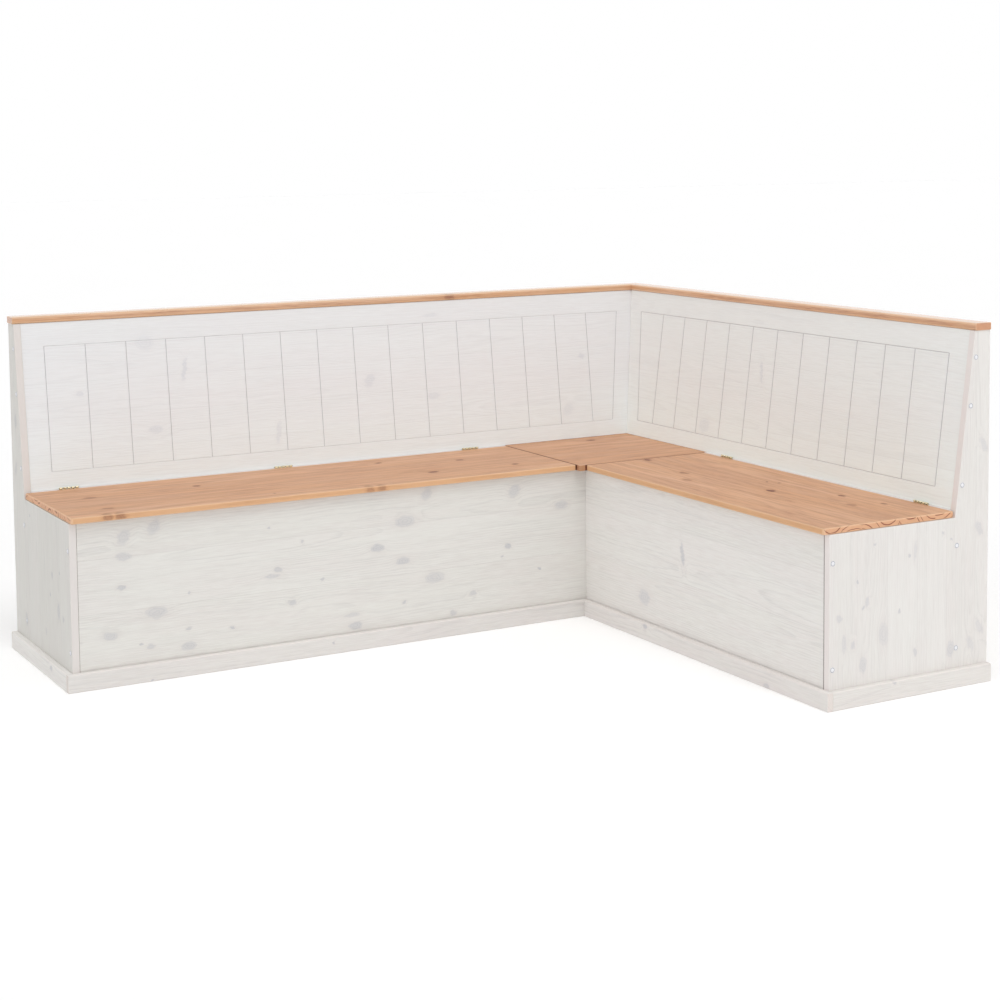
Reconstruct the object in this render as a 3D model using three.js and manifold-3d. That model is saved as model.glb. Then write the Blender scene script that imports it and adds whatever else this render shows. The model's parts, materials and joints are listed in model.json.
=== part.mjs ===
// Corner storage bench in white-glazed pine with honey pine seats and top rails.
//
// Two legs run out from a room corner along two walls. Each leg is built in the same leg measures:
// "along" is the distance from the room corner along the leg, "depth" is the distance from the wall
// into the room, and "height" is up from the floor. The long leg runs to -X with its depth to -Y, and
// the short leg is the same thing mirrored over the room corner's diagonal. All lengths are millimetres.

import * as THREE from 'three';
import { mergeVertices } from 'three/addons/utils/BufferGeometryUtils.js';
import Module from 'manifold-3d';

const wasm = await Module();
wasm.setup();

// Overall sizes
const longLegLength = 2096;
const shortLegLength = 1678;
const legDepth = 525;
const seatHeight = 460;
const benchHeight = 944;

// Clearances
const fitGap = 0.3;
const cutOverrun = 2;
const mergeTolerance = 1e-4;

// Side panels and the slant that the backrest follows
const sidePanelThickness = 20;
const slantDepthAtSeat = 112;
const slantDepthAtRail = 52;

// Front panels
const frontPanelThickness = 18;
const frontPanelRecess = 1.5;
const frontPanelTabLength = 40;

// Lower back panels, which stand under the backrest
const lowerBackThickness = 18;
const lowerBackStep = 5;

// Backrest panels, their cleats and their grooves
const backrestThickness = 18;
const backrestRecess = 3;
const backrestCleatThickness = 30;
const backrestCleatHeight = 60;
const grooveWidth = 3;
const grooveDepth = 1.8;
const grooveTopMargin = 66;
const grooveBottomMargin = 50;
const longGrooveSideMargin = 63;
const shortGrooveSideMargin = 71;
const longGrooveCornerMargin = 56;
const shortGrooveCornerMargin = 64;
const longFirstPlankAlong = 233.5;
const shortFirstPlankAlong = 252.5;
const longPlankPitch = 118.7;
const shortPlankPitch = 120.2;
const longPlankLines = 15;
const shortPlankLines = 11;

// Top rails
const topRailThickness = 19;
const topRailDepth = 52.5;
const topRailRounding = 5;
const topRailOverhang = 3;

// Seat lids and the corner seat board
const lidThickness = 17;
const lidFrontOverhang = 17;
const lidEndInset = 2;
const lidEdgeRounding = 3;
const lidFreeCornerRounding = 6;
const lidBackRounding = 1;
const seamGap = 3;
const cornerBoardLongReach = 565;
const cornerBoardShortReach = 560;
const cornerBoardBackDepth = 92;

// Plinth
const plinthThickness = 17;
const plinthHeight = 48;
const plinthRounding = 3;

// Storage floor, its battens, the cross rails and the posts
const floorPanelThickness = 8;
const floorBattenHeight = 30;
const floorBattenThickness = 20;
const floorBattenBottom = 32;
const crossRailWidth = 45;
const crossRailHeight = 40;
const innerPostSide = 40;
const backPostSide = 30;

// Hinges
const hingeLength = 58;
const hingeKnuckleCount = 5;
const hingeKnuckleRadius = 3;
const hingeKnuckleGap = 0.3;
const hingeBarrelLift = 0.6;
const hingeBoreRadius = 1.5;
const hingePinRadius = 1.2;
const hingeLeafThickness = 1;
const hingeLeafHeight = 16;
const hingeLeafSpacing = 0.4;
const hingeSweepClearance = 0.4;
const hingeScrewHoleRadius = 1.6;
const hingeScrewFromEnd = 12;
const hingeScrewFromBottom = 7;
const longHingeAlongs = [696, 1324, 1971];
const shortHingeAlongs = [681, 1551.5];

// Screw cover caps on the side panels
const capRadius = 7;
const capEdgeHeight = 0.6;
const capCrownHeight = 1.5;
const capStemRadius = 3.2;
const capStemLength = 6;
const capHoleRadius = 3.5;
const capHoleDepth = 8;
const backrestScrewAboveSeat = 66;
const backrestScrewBelowRail = 69;
const backrestMiddleScrewShare = 0.62;
const panelScrewAboveFloor = 100;
const panelScrewBelowTop = 73;

// Facets
const arcSegments = 3;
const boreSegments = 16;
const capSegments = 20;

// Heights, depths and places worked out from the sizes above
const railBottom = benchHeight - topRailThickness;
const lidBottom = seatHeight - lidThickness;
const carcassTop = lidBottom - fitGap;
const slantRise = railBottom - seatHeight;
const slantAngle = Math.atan((slantDepthAtSeat - slantDepthAtRail) / slantRise);
const frontFaceDepth = legDepth - frontPanelRecess;
const frontRearDepth = frontFaceDepth - frontPanelThickness;
const lowerBackFaceDepth = slantDepthAtSeat + lowerBackStep;
const lowerBackRearDepth = lowerBackFaceDepth - lowerBackThickness;
const hingeSlot = 2 * (fitGap + hingeLeafThickness) + hingeLeafSpacing;
const hingeAxisDepth = lowerBackFaceDepth + hingeSlot / 2;
const hingeAxisHeight = seatHeight + hingeBarrelLift + hingeKnuckleRadius;
const lidBackDepth = lowerBackFaceDepth + hingeSlot;
const lidFrontDepth = legDepth + lidFrontOverhang;
const plinthFaceDepth = legDepth + plinthThickness;
const floorBattenTop = floorBattenBottom + floorBattenHeight;
const floorTop = floorBattenTop + fitGap + floorPanelThickness;
const crossRailBottom = carcassTop - crossRailHeight;
const tabEndAlong = frontRearDepth - frontPanelTabLength;

// The two legs. The mirrored one is swapped over the room corner's diagonal.
const longLeg = {
  name: 'long',
  endName: 'left',
  length: longLegLength,
  mirrored: false,
  cornerBoardReach: cornerBoardLongReach,
  grooveSideMargin: longGrooveSideMargin,
  grooveCornerMargin: longGrooveCornerMargin,
  firstPlankAlong: longFirstPlankAlong,
  plankPitch: longPlankPitch,
  plankLines: longPlankLines,
  hingeNames: ['inner', 'middle', 'outer'],
  hingeAlongs: longHingeAlongs,
};
const shortLeg = {
  name: 'short',
  endName: 'right',
  length: shortLegLength,
  mirrored: true,
  cornerBoardReach: cornerBoardShortReach,
  grooveSideMargin: shortGrooveSideMargin,
  grooveCornerMargin: shortGrooveCornerMargin,
  firstPlankAlong: shortFirstPlankAlong,
  plankPitch: shortPlankPitch,
  plankLines: shortPlankLines,
  hingeNames: ['inner', 'outer'],
  hingeAlongs: shortHingeAlongs,
};

// Materials
const whitePine = new THREE.MeshStandardMaterial({ color: 0xe4e0dc, roughness: 0.75, metalness: 0 });
const honeyPine = new THREE.MeshStandardMaterial({ color: 0xd2a27c, roughness: 0.6, metalness: 0 });
const rawPine = new THREE.MeshStandardMaterial({ color: 0xdfc69c, roughness: 0.85, metalness: 0 });
const brass = new THREE.MeshStandardMaterial({ color: 0xd8b56a, roughness: 0.3, metalness: 1 });
const capPlastic = new THREE.MeshStandardMaterial({ color: 0xe6e4e2, roughness: 0.5, metalness: 0 });

const bench = new THREE.Group();

function addPart(name, geometry, material, leg) {
  const placed = leg && leg.mirrored ? mirrorOverDiagonal(geometry) : geometry;
  const mesh = new THREE.Mesh(placed, material);
  mesh.name = name;
  bench.add(mesh);
}

// Swaps X and Y, and turns each triangle round so that its face still points out.
function mirrorOverDiagonal(geometry) {
  const mirrored = geometry.index ? geometry.toNonIndexed() : geometry.clone();
  const position = mirrored.attributes.position;
  const source = position.clone();
  for (let corner = 0; corner < position.count; corner += 1) {
    const place = corner % 3;
    const from = place === 0 ? corner : corner - place + (3 - place);
    position.setXYZ(corner, source.getY(from), source.getX(from), source.getZ(from));
  }
  mirrored.computeVertexNormals();
  return mirrored;
}

// Solids for cutting and joining
function toSolid(geometry) {
  const bare = geometry.clone();
  bare.deleteAttribute('normal');
  bare.deleteAttribute('uv');
  const merged = mergeVertices(bare, mergeTolerance);
  const mesh = new wasm.Mesh({
    numProp: 3,
    vertProperties: new Float32Array(merged.attributes.position.array),
    triVerts: new Uint32Array(merged.index.array),
  });
  return new wasm.Manifold(mesh);
}

function toGeometry(solid) {
  const mesh = solid.getMesh();
  const indexed = new THREE.BufferGeometry();
  indexed.setAttribute('position', new THREE.BufferAttribute(new Float32Array(mesh.vertProperties), 3));
  indexed.setIndex(new THREE.BufferAttribute(new Uint32Array(mesh.triVerts), 1));
  const flat = indexed.toNonIndexed();
  flat.computeVertexNormals();
  return flat;
}

function cutAway(geometry, cutters) {
  let solid = toSolid(geometry);
  for (const cutter of cutters) {
    solid = solid.subtract(toSolid(cutter));
  }
  return toGeometry(solid);
}

function joinTo(geometry, additions) {
  let solid = toSolid(geometry);
  for (const addition of additions) {
    solid = solid.add(toSolid(addition));
  }
  return toGeometry(solid);
}

// A straight board, from its two ends in each leg measure.
function board([alongFrom, alongTo], [depthFrom, depthTo], [bottom, top]) {
  const geometry = new THREE.BoxGeometry(alongTo - alongFrom, depthTo - depthFrom, top - bottom);
  geometry.translate(-(alongFrom + alongTo) / 2, -(depthFrom + depthTo) / 2, (bottom + top) / 2);
  return geometry;
}

// A board whose section, drawn as depth across and height up, runs along the leg.
function profileBoard(section, alongFrom, alongTo) {
  const geometry = new THREE.ExtrudeGeometry(section, {
    depth: alongTo - alongFrom,
    bevelEnabled: false,
    curveSegments: arcSegments,
  });
  const acrossAxis = new THREE.Vector3(0, -1, 0);
  const upAxis = new THREE.Vector3(0, 0, 1);
  const alongAxis = new THREE.Vector3(-1, 0, 0);
  geometry.applyMatrix4(new THREE.Matrix4().makeBasis(acrossAxis, upAxis, alongAxis));
  geometry.translate(-alongFrom, 0, 0);
  return geometry;
}

function outline(points) {
  return new THREE.Shape(points.map(([across, up]) => new THREE.Vector2(across, up)));
}

// A section from a back depth to a front depth, with its front edges and its back upper edge rounded.
function roundedSection([back, front], [bottom, top], frontLower, frontUpper, backUpper) {
  const section = new THREE.Shape();
  section.moveTo(back, bottom);
  if (frontLower > 0) {
    section.lineTo(front - frontLower, bottom);
    section.absarc(front - frontLower, bottom + frontLower, frontLower, -Math.PI / 2, 0, false);
  } else {
    section.lineTo(front, bottom);
  }
  section.lineTo(front, top - frontUpper);
  section.absarc(front - frontUpper, top - frontUpper, frontUpper, 0, Math.PI / 2, false);
  if (backUpper > 0) {
    section.lineTo(back + backUpper, top);
    section.absarc(back + backUpper, top - backUpper, backUpper, Math.PI / 2, Math.PI, false);
  } else {
    section.lineTo(back, top);
  }
  section.closePath();
  return section;
}

// Moves the end nearest the room corner to a place that depends on depth and height.
function shapeCornerEnd(geometry, alongFrom, alongAt) {
  const position = geometry.attributes.position;
  const nearEnough = fitGap / 2;
  for (let corner = 0; corner < position.count; corner += 1) {
    if (Math.abs(position.getX(corner) + alongFrom) < nearEnough) {
      position.setX(corner, -alongAt(-position.getY(corner), position.getZ(corner)));
    }
  }
  geometry.computeVertexNormals();
  return geometry;
}

// A rod along the leg, centred on a depth and height.
function rodAlong(radius, alongFrom, alongTo, depth, height, segments) {
  const rod = new THREE.CylinderGeometry(radius, radius, alongTo - alongFrom, segments);
  rod.rotateZ(Math.PI / 2);
  rod.translate(-(alongFrom + alongTo) / 2, -depth, height);
  return rod;
}

// Depth of the slanted edge of a side panel, and of the two faces of the backrest, at a height
function slantDepth(height) {
  return slantDepthAtSeat - (height - seatHeight) * Math.tan(slantAngle);
}

function backrestFrontDepth(height) {
  return slantDepth(height) - backrestRecess;
}

function backrestRearDepth(height) {
  return backrestFrontDepth(height) - backrestThickness / Math.cos(slantAngle);
}

// Places of the screws in a side panel: into the backrest, the lower back panel and the front panel
function screwPlaces() {
  const lowest = seatHeight + backrestScrewAboveSeat;
  const highest = railBottom - backrestScrewBelowRail;
  const middle = lowest + (highest - lowest) * backrestMiddleScrewShare;
  const backrestMiddle = backrestRecess + backrestThickness / 2;
  const backrest = [lowest, middle, highest].map((height) => [slantDepth(height) - backrestMiddle, height]);
  const panelHeights = [panelScrewAboveFloor, carcassTop - panelScrewBelowTop];
  const lowerBackMiddle = (lowerBackFaceDepth + lowerBackRearDepth) / 2;
  const lowerBack = panelHeights.map((height) => [lowerBackMiddle, height]);
  const frontMiddle = (frontFaceDepth + frontRearDepth) / 2;
  const front = panelHeights.map((height) => [frontMiddle, height]);
  return [...backrest, ...lowerBack, ...front];
}

function sidePanel(leg) {
  const section = outline([
    [0, 0],
    [legDepth, 0],
    [legDepth, carcassTop],
    [slantDepth(carcassTop), carcassTop],
    [slantDepth(railBottom - fitGap), railBottom - fitGap],
    [0, railBottom - fitGap],
  ]);
  const panel = profileBoard(section, leg.length - sidePanelThickness, leg.length);
  const holes = screwPlaces().map(([depth, height]) => rodAlong(
    capHoleRadius,
    leg.length - capHoleDepth,
    leg.length + cutOverrun,
    depth,
    height,
    boreSegments,
  ));
  addPart(`${leg.endName}_side_panel`, cutAway(panel, holes), whitePine, leg);
}

// A low domed cap on a stem that presses into the screw's hole.
function coverCap(leg, number, depth, height) {
  const points = [
    new THREE.Vector2(0, -capStemLength),
    new THREE.Vector2(capStemRadius, -capStemLength),
    new THREE.Vector2(capStemRadius, fitGap),
    new THREE.Vector2(capRadius, fitGap),
    new THREE.Vector2(capRadius, fitGap + capEdgeHeight),
  ];
  const crownRise = capCrownHeight - capEdgeHeight;
  for (let step = 1; step <= arcSegments; step += 1) {
    const turn = (step / arcSegments) * (Math.PI / 2);
    const radius = step === arcSegments ? 0 : capRadius * Math.cos(turn);
    points.push(new THREE.Vector2(radius, fitGap + capEdgeHeight + crownRise * Math.sin(turn)));
  }
  const cap = new THREE.LatheGeometry(points, capSegments);
  cap.rotateZ(Math.PI / 2);
  cap.translate(-leg.length, -depth, height);
  addPart(`${leg.endName}_screw_cap_${number}`, cap, capPlastic, leg);
}

function coverCaps(leg) {
  screwPlaces().forEach(([depth, height], index) => coverCap(leg, index + 1, depth, height));
}

// The long front panel runs on behind the short one as a tab, which the inner post is fixed to.
function frontPanel(leg) {
  const start = leg.mirrored ? frontFaceDepth + fitGap : tabEndAlong;
  const panel = board(
    [start, leg.length - sidePanelThickness - fitGap],
    [frontRearDepth, frontFaceDepth],
    [0, carcassTop],
  );
  addPart(`${leg.name}_front_panel`, panel, whitePine, leg);
}

// The lower back panel steps down under the corner seat board.
function lowerBackPanel(leg) {
  const start = leg.mirrored ? lowerBackFaceDepth + fitGap : lowerBackRearDepth;
  const notchAlong = leg.cornerBoardReach + fitGap;
  const panel = board(
    [start, leg.length - sidePanelThickness - fitGap],
    [lowerBackRearDepth, lowerBackFaceDepth],
    [0, seatHeight],
  );
  const notch = board(
    [start - cutOverrun, notchAlong],
    [lowerBackRearDepth - cutOverrun, lowerBackFaceDepth + cutOverrun],
    [carcassTop, seatHeight + cutOverrun],
  );
  addPart(`${leg.name}_lower_back_panel`, cutAway(panel, [notch]), whitePine, leg);
}

function backrestCleat(leg) {
  const rear = lowerBackRearDepth - fitGap;
  const cleat = board(
    [leg.cornerBoardReach + fitGap, leg.length - sidePanelThickness - fitGap],
    [rear - backrestCleatThickness, rear],
    [seatHeight - backrestCleatHeight, seatHeight],
  );
  addPart(`${leg.name}_backrest_cleat`, cleat, rawPine, leg);
}

// A point on the backrest's front face
function backrestPoint(along, height) {
  return new THREE.Vector3(-along, -backrestFrontDepth(height), height);
}

// A V-shaped cutter between two points on the backrest's front face
function grooveCutter(start, end) {
  const outward = new THREE.Vector3(0, -Math.cos(slantAngle), Math.sin(slantAngle));
  const direction = new THREE.Vector3().subVectors(end, start);
  const length = direction.length();
  direction.normalize();
  const across = new THREE.Vector3().crossVectors(outward, direction);
  const mouth = (grooveWidth / 2) * (1 + cutOverrun / grooveDepth);
  const section = outline([[0, -grooveDepth], [mouth, cutOverrun], [-mouth, cutOverrun]]);
  const cutter = new THREE.ExtrudeGeometry(section, { depth: length, bevelEnabled: false });
  cutter.applyMatrix4(new THREE.Matrix4().makeBasis(across, outward, direction));
  cutter.translate(start.x, start.y, start.z);
  return cutter;
}

// The grooves draw a frame, with upright plank lines in it. The line next to the room corner leans
// with the corner.
function backrestGrooves(leg) {
  const low = seatHeight + grooveBottomMargin;
  const high = railBottom - grooveTopMargin;
  const frameEnd = leg.length - sidePanelThickness - leg.grooveSideMargin;
  const cornerLow = backrestFrontDepth(low) + leg.grooveCornerMargin;
  const cornerHigh = backrestFrontDepth(high) + leg.grooveCornerMargin;
  const cutters = [
    grooveCutter(backrestPoint(cornerLow, low), backrestPoint(frameEnd, low)),
    grooveCutter(backrestPoint(cornerHigh, high), backrestPoint(frameEnd, high)),
    grooveCutter(backrestPoint(cornerLow, low), backrestPoint(cornerHigh, high)),
    grooveCutter(backrestPoint(frameEnd, low), backrestPoint(frameEnd, high)),
  ];
  for (let line = 0; line < leg.plankLines; line += 1) {
    const along = leg.firstPlankAlong + line * leg.plankPitch;
    cutters.push(grooveCutter(backrestPoint(along, low), backrestPoint(along, high)));
  }
  return cutters;
}

// The short backrest butts against the long one, whose end lies flush with the short one's rear face.
function backrestPanel(leg) {
  const low = seatHeight + fitGap;
  const high = railBottom - fitGap;
  const section = outline([
    [backrestRearDepth(low), low],
    [backrestFrontDepth(low), low],
    [backrestFrontDepth(high), high],
    [backrestRearDepth(high), high],
  ]);
  const panel = profileBoard(section, 0, leg.length - sidePanelThickness - fitGap);
  const cornerEnd = leg.mirrored
    ? (depth, height) => backrestFrontDepth(height) + fitGap
    : (depth, height) => backrestRearDepth(height);
  shapeCornerEnd(panel, 0, cornerEnd);
  addPart(`${leg.name}_backrest_panel`, cutAway(panel, backrestGrooves(leg)), whitePine, leg);
}

// The top rails meet in a mitre over the room corner.
function topRail(leg) {
  const section = roundedSection(
    [0, topRailDepth],
    [railBottom, benchHeight],
    topRailRounding,
    topRailRounding,
    0,
  );
  const rail = profileBoard(section, 0, leg.length + topRailOverhang);
  shapeCornerEnd(rail, 0, (depth) => depth + fitGap / 2);
  addPart(`${leg.name}_top_rail`, rail, honeyPine, leg);
}

function lidEnds(leg) {
  return [leg.cornerBoardReach + seamGap, leg.length - lidEndInset];
}

// A lid is its long section, trimmed to a plan whose free front corner is rounded.
function seatLid(leg) {
  const [start, end] = lidEnds(leg);
  const section = roundedSection(
    [lidBackDepth, lidFrontDepth],
    [lidBottom, seatHeight],
    lidEdgeRounding,
    lidEdgeRounding,
    lidBackRounding,
  );
  const lid = profileBoard(section, start, end);
  const plan = new THREE.Shape();
  const rounding = lidFreeCornerRounding;
  const front = lidFrontDepth;
  const back = lidBackDepth;
  plan.moveTo(-start + cutOverrun, -back + cutOverrun);
  plan.lineTo(-end, -back + cutOverrun);
  plan.lineTo(-end, -front + rounding);
  plan.absarc(-end + rounding, -front + rounding, rounding, Math.PI, Math.PI * 1.5, false);
  plan.lineTo(-start + cutOverrun, -front);
  plan.closePath();
  const trim = new THREE.ExtrudeGeometry(plan, {
    depth: lidThickness + 2 * cutOverrun,
    bevelEnabled: false,
    curveSegments: arcSegments,
  });
  trim.translate(0, 0, lidBottom - cutOverrun);
  const trimmed = toGeometry(toSolid(lid).intersect(toSolid(trim)));
  addPart(`${leg.name}_seat_lid`, trimmed, honeyPine, leg);
}

// The corner seat board is fixed. Its front corner stands proud of both lids, and its back edges run
// under the backrests.
function cornerSeatBoard() {
  const seatBoard = board(
    [cornerBoardBackDepth, cornerBoardLongReach],
    [cornerBoardBackDepth, cornerBoardShortReach],
    [lidBottom, seatHeight],
  );
  addPart('corner_seat_board', seatBoard, honeyPine);
}

// The front plinths cover the ends of the end plinths. At the inner corner the long one runs to the
// short front panel, and the short one butts against it.
function plinths(leg) {
  const rear = legDepth + fitGap;
  const frontSection = roundedSection([rear, plinthFaceDepth], [0, plinthHeight], 0, plinthRounding, 0);
  const start = leg.mirrored ? plinthFaceDepth + fitGap : frontFaceDepth + fitGap;
  const end = leg.length + plinthThickness;
  addPart(`${leg.name}_front_plinth`, profileBoard(frontSection, start, end), whitePine, leg);

  const inner = leg.length + fitGap;
  const endSection = roundedSection([inner, end], [0, plinthHeight], 0, plinthRounding, 0);
  const endPlinth = mirrorOverDiagonal(profileBoard(endSection, 0, legDepth));
  addPart(`${leg.endName}_plinth`, endPlinth, whitePine, leg);
}

// The short leg's floor is cut round the tab of the long front panel.
function floorPanel(leg) {
  const start = leg.mirrored ? frontRearDepth + fitGap : lowerBackFaceDepth + fitGap;
  const end = leg.length - sidePanelThickness - fitGap;
  const panel = board(
    [start, end],
    [lowerBackFaceDepth + fitGap, frontRearDepth - fitGap],
    [floorBattenTop + fitGap, floorTop],
  );
  const tabNotch = board(
    [start - cutOverrun, frontFaceDepth + fitGap],
    [tabEndAlong - fitGap, frontRearDepth + cutOverrun],
    [floorBattenTop - cutOverrun, floorTop + cutOverrun],
  );
  const shaped = leg.mirrored ? cutAway(panel, [tabNotch]) : panel;
  addPart(`${leg.name}_floor_panel`, shaped, rawPine, leg);
}

function floorBattens(leg) {
  const end = leg.length - sidePanelThickness - fitGap;
  const height = [floorBattenBottom, floorBattenTop];
  const frontStart = frontFaceDepth + fitGap;
  const frontBatten = board(
    [frontStart, end],
    [frontRearDepth - fitGap - floorBattenThickness, frontRearDepth - fitGap],
    height,
  );
  addPart(`${leg.name}_front_floor_batten`, frontBatten, rawPine, leg);

  const back = lowerBackFaceDepth + fitGap;
  const backStart = leg.mirrored ? back + floorBattenThickness + fitGap : back;
  const backBatten = board([backStart, end], [back, back + floorBattenThickness], height);
  addPart(`${leg.name}_back_floor_batten`, backBatten, rawPine, leg);
}

// A cross rail lies under the seam between the lid and the corner seat board.
function crossRail(leg) {
  const seam = leg.cornerBoardReach + seamGap / 2;
  const rail = board(
    [seam - crossRailWidth / 2, seam + crossRailWidth / 2],
    [lowerBackFaceDepth + fitGap, frontRearDepth - fitGap],
    [crossRailBottom, carcassTop],
  );
  addPart(`${leg.name}_cross_rail`, rail, rawPine, leg);
}

// The inner post stands between the short front panel's rear face and the long panel's tab.
function innerCornerPost() {
  const shortAlong = frontFaceDepth + fitGap;
  const post = board(
    [frontRearDepth - fitGap - innerPostSide, frontRearDepth - fitGap],
    [shortAlong, shortAlong + innerPostSide],
    [floorTop + fitGap, crossRailBottom - fitGap],
  );
  addPart('inner_corner_post', post, rawPine);
}

function backCornerPost() {
  const low = lowerBackFaceDepth + fitGap;
  const side = [low, low + backPostSide];
  addPart('back_corner_post', board(side, side, [floorTop + fitGap, carcassTop]), rawPine);
}

function knuckleSpan(centre, index) {
  const pitch = hingeLength / hingeKnuckleCount;
  const start = centre - hingeLength / 2 + index * pitch;
  return [start + hingeKnuckleGap / 2, start + pitch - hingeKnuckleGap / 2];
}

// A leaf is a plate with its own knuckles. It is cut away round the other leaf's knuckles and bored for
// the pin and two screws.
function hingeLeaf(centre, plateDepth, ownKnuckles) {
  const ends = [centre - hingeLength / 2, centre + hingeLength / 2];
  const plateTop = hingeAxisHeight;
  const plateBottom = seatHeight - hingeLeafHeight;
  const slotBottom = hingeAxisHeight - hingeKnuckleRadius - hingeSweepClearance;
  const plate = board(ends, plateDepth, [plateBottom, plateTop]);
  const knuckles = [];
  const slots = [];
  for (let index = 0; index < hingeKnuckleCount; index += 1) {
    const [from, to] = knuckleSpan(centre, index);
    if (ownKnuckles(index)) {
      knuckles.push(rodAlong(hingeKnuckleRadius, from, to, hingeAxisDepth, hingeAxisHeight, boreSegments));
    } else {
      const slotFrom = index === 0 ? from - cutOverrun : from - hingeKnuckleGap;
      const slotTo = index === hingeKnuckleCount - 1 ? to + cutOverrun : to + hingeKnuckleGap;
      const slotDepth = [plateDepth[0] - cutOverrun, plateDepth[1] + cutOverrun];
      slots.push(board([slotFrom, slotTo], slotDepth, [slotBottom, plateTop + cutOverrun]));
    }
  }
  const bore = rodAlong(
    hingeBoreRadius,
    ends[0] - cutOverrun,
    ends[1] + cutOverrun,
    hingeAxisDepth,
    hingeAxisHeight,
    boreSegments,
  );
  const screwHoles = [ends[0] + hingeScrewFromEnd, ends[1] - hingeScrewFromEnd].map((along) => {
    const length = hingeLeafThickness + 2 * cutOverrun;
    const hole = new THREE.CylinderGeometry(hingeScrewHoleRadius, hingeScrewHoleRadius, length, boreSegments);
    hole.translate(-along, -(plateDepth[0] + plateDepth[1]) / 2, plateBottom + hingeScrewFromBottom);
    return hole;
  });
  return cutAway(joinTo(cutAway(plate, slots), knuckles), [bore, ...screwHoles]);
}

function hinge(leg, name, centre) {
  const label = `${leg.name}_${name}_hinge`;
  const frameRear = lowerBackFaceDepth + fitGap;
  const framePlate = [frameRear, frameRear + hingeLeafThickness];
  const lidFront = lidBackDepth - fitGap;
  const lidPlate = [lidFront - hingeLeafThickness, lidFront];
  const pin = rodAlong(
    hingePinRadius,
    centre - hingeLength / 2,
    centre + hingeLength / 2,
    hingeAxisDepth,
    hingeAxisHeight,
    boreSegments,
  );
  addPart(`${label}_frame_leaf`, hingeLeaf(centre, framePlate, (index) => index % 2 === 0), brass, leg);
  addPart(`${label}_lid_leaf`, hingeLeaf(centre, lidPlate, (index) => index % 2 === 1), brass, leg);
  addPart(`${label}_pin`, pin, brass, leg);
}

for (const leg of [longLeg, shortLeg]) {
  sidePanel(leg);
  frontPanel(leg);
  lowerBackPanel(leg);
  backrestPanel(leg);
  backrestCleat(leg);
  topRail(leg);
  seatLid(leg);
  plinths(leg);
  floorPanel(leg);
  floorBattens(leg);
  crossRail(leg);
  coverCaps(leg);
  leg.hingeNames.forEach((name, index) => hinge(leg, name, leg.hingeAlongs[index]));
}
cornerSeatBoard();
innerCornerPost();
backCornerPost();

// The origin is on the floor under the middle of the bench's overall box.
bench.position.set((longLegLength + plinthThickness) / 2, (shortLegLength + plinthThickness) / 2, 0);

const group = new THREE.Group();
group.add(bench);

export default group;
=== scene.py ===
"""Corner storage bench: white-glazed pine with honey pine seats and top rails, finished around its frame.

Lengths are metres. Each leg of the bench is worked on in leg measures: along is the distance from the room
corner along the leg, depth is the distance from the wall into the room, and height is up from the floor.
"""

import json
import math
import random

import bmesh
import bpy
from mathutils import Matrix, Vector


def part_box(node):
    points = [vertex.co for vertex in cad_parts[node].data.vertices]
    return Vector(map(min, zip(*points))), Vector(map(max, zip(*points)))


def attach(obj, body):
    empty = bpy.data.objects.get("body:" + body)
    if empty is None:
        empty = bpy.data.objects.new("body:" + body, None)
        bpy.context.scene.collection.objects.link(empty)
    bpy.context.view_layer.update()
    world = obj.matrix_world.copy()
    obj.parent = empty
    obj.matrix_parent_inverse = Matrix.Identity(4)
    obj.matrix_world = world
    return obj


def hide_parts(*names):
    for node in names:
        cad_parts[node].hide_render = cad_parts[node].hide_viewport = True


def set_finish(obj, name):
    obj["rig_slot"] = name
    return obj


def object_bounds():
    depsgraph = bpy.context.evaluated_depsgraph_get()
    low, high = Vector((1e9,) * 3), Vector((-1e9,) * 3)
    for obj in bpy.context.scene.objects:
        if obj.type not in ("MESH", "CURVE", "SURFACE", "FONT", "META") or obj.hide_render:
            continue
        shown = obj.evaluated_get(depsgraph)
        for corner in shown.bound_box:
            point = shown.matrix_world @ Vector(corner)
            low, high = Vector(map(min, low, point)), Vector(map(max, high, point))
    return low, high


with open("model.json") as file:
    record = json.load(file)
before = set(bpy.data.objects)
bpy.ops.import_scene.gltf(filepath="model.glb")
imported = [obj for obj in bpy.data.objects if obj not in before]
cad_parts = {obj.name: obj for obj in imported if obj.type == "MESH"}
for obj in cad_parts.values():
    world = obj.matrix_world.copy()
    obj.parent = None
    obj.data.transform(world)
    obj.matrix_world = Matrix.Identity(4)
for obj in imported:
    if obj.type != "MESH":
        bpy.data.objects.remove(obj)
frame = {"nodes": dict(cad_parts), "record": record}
cad_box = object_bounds()
bpy.ops.object.select_all(action="DESELECT")

# What the frame gives: the room corner, where both walls meet the floor, two heights, and each node's body
ROOM_CORNER = Vector((cad_box[1].x, cad_box[1].y, 0))
SEAT_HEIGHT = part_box("corner_seat_board")[1].z
RAIL_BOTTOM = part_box("long_top_rail")[0].z
BODY_OF_NODE = {
    node: body for body, nodes in frame["record"]["behaviour"]["bodies"].items() for node in nodes
}

# Sizes that the frame's boxes don't give by themselves
SLANT_DEPTH_AT_SEAT = 0.112
SLANT_DEPTH_AT_RAIL = 0.052
SLANT_ANGLE = math.atan2(SLANT_DEPTH_AT_SEAT - SLANT_DEPTH_AT_RAIL, RAIL_BOTTOM - SEAT_HEIGHT)
BACKREST_RECESS = 0.003
BACKREST_THICKNESS = 0.018
CAP_HOLE_RADIUS = 0.0035
CAP_HOLE_DEPTH = 0.008
FIT_GAP = 0.0003
CUT_OVERRUN = 0.002

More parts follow.
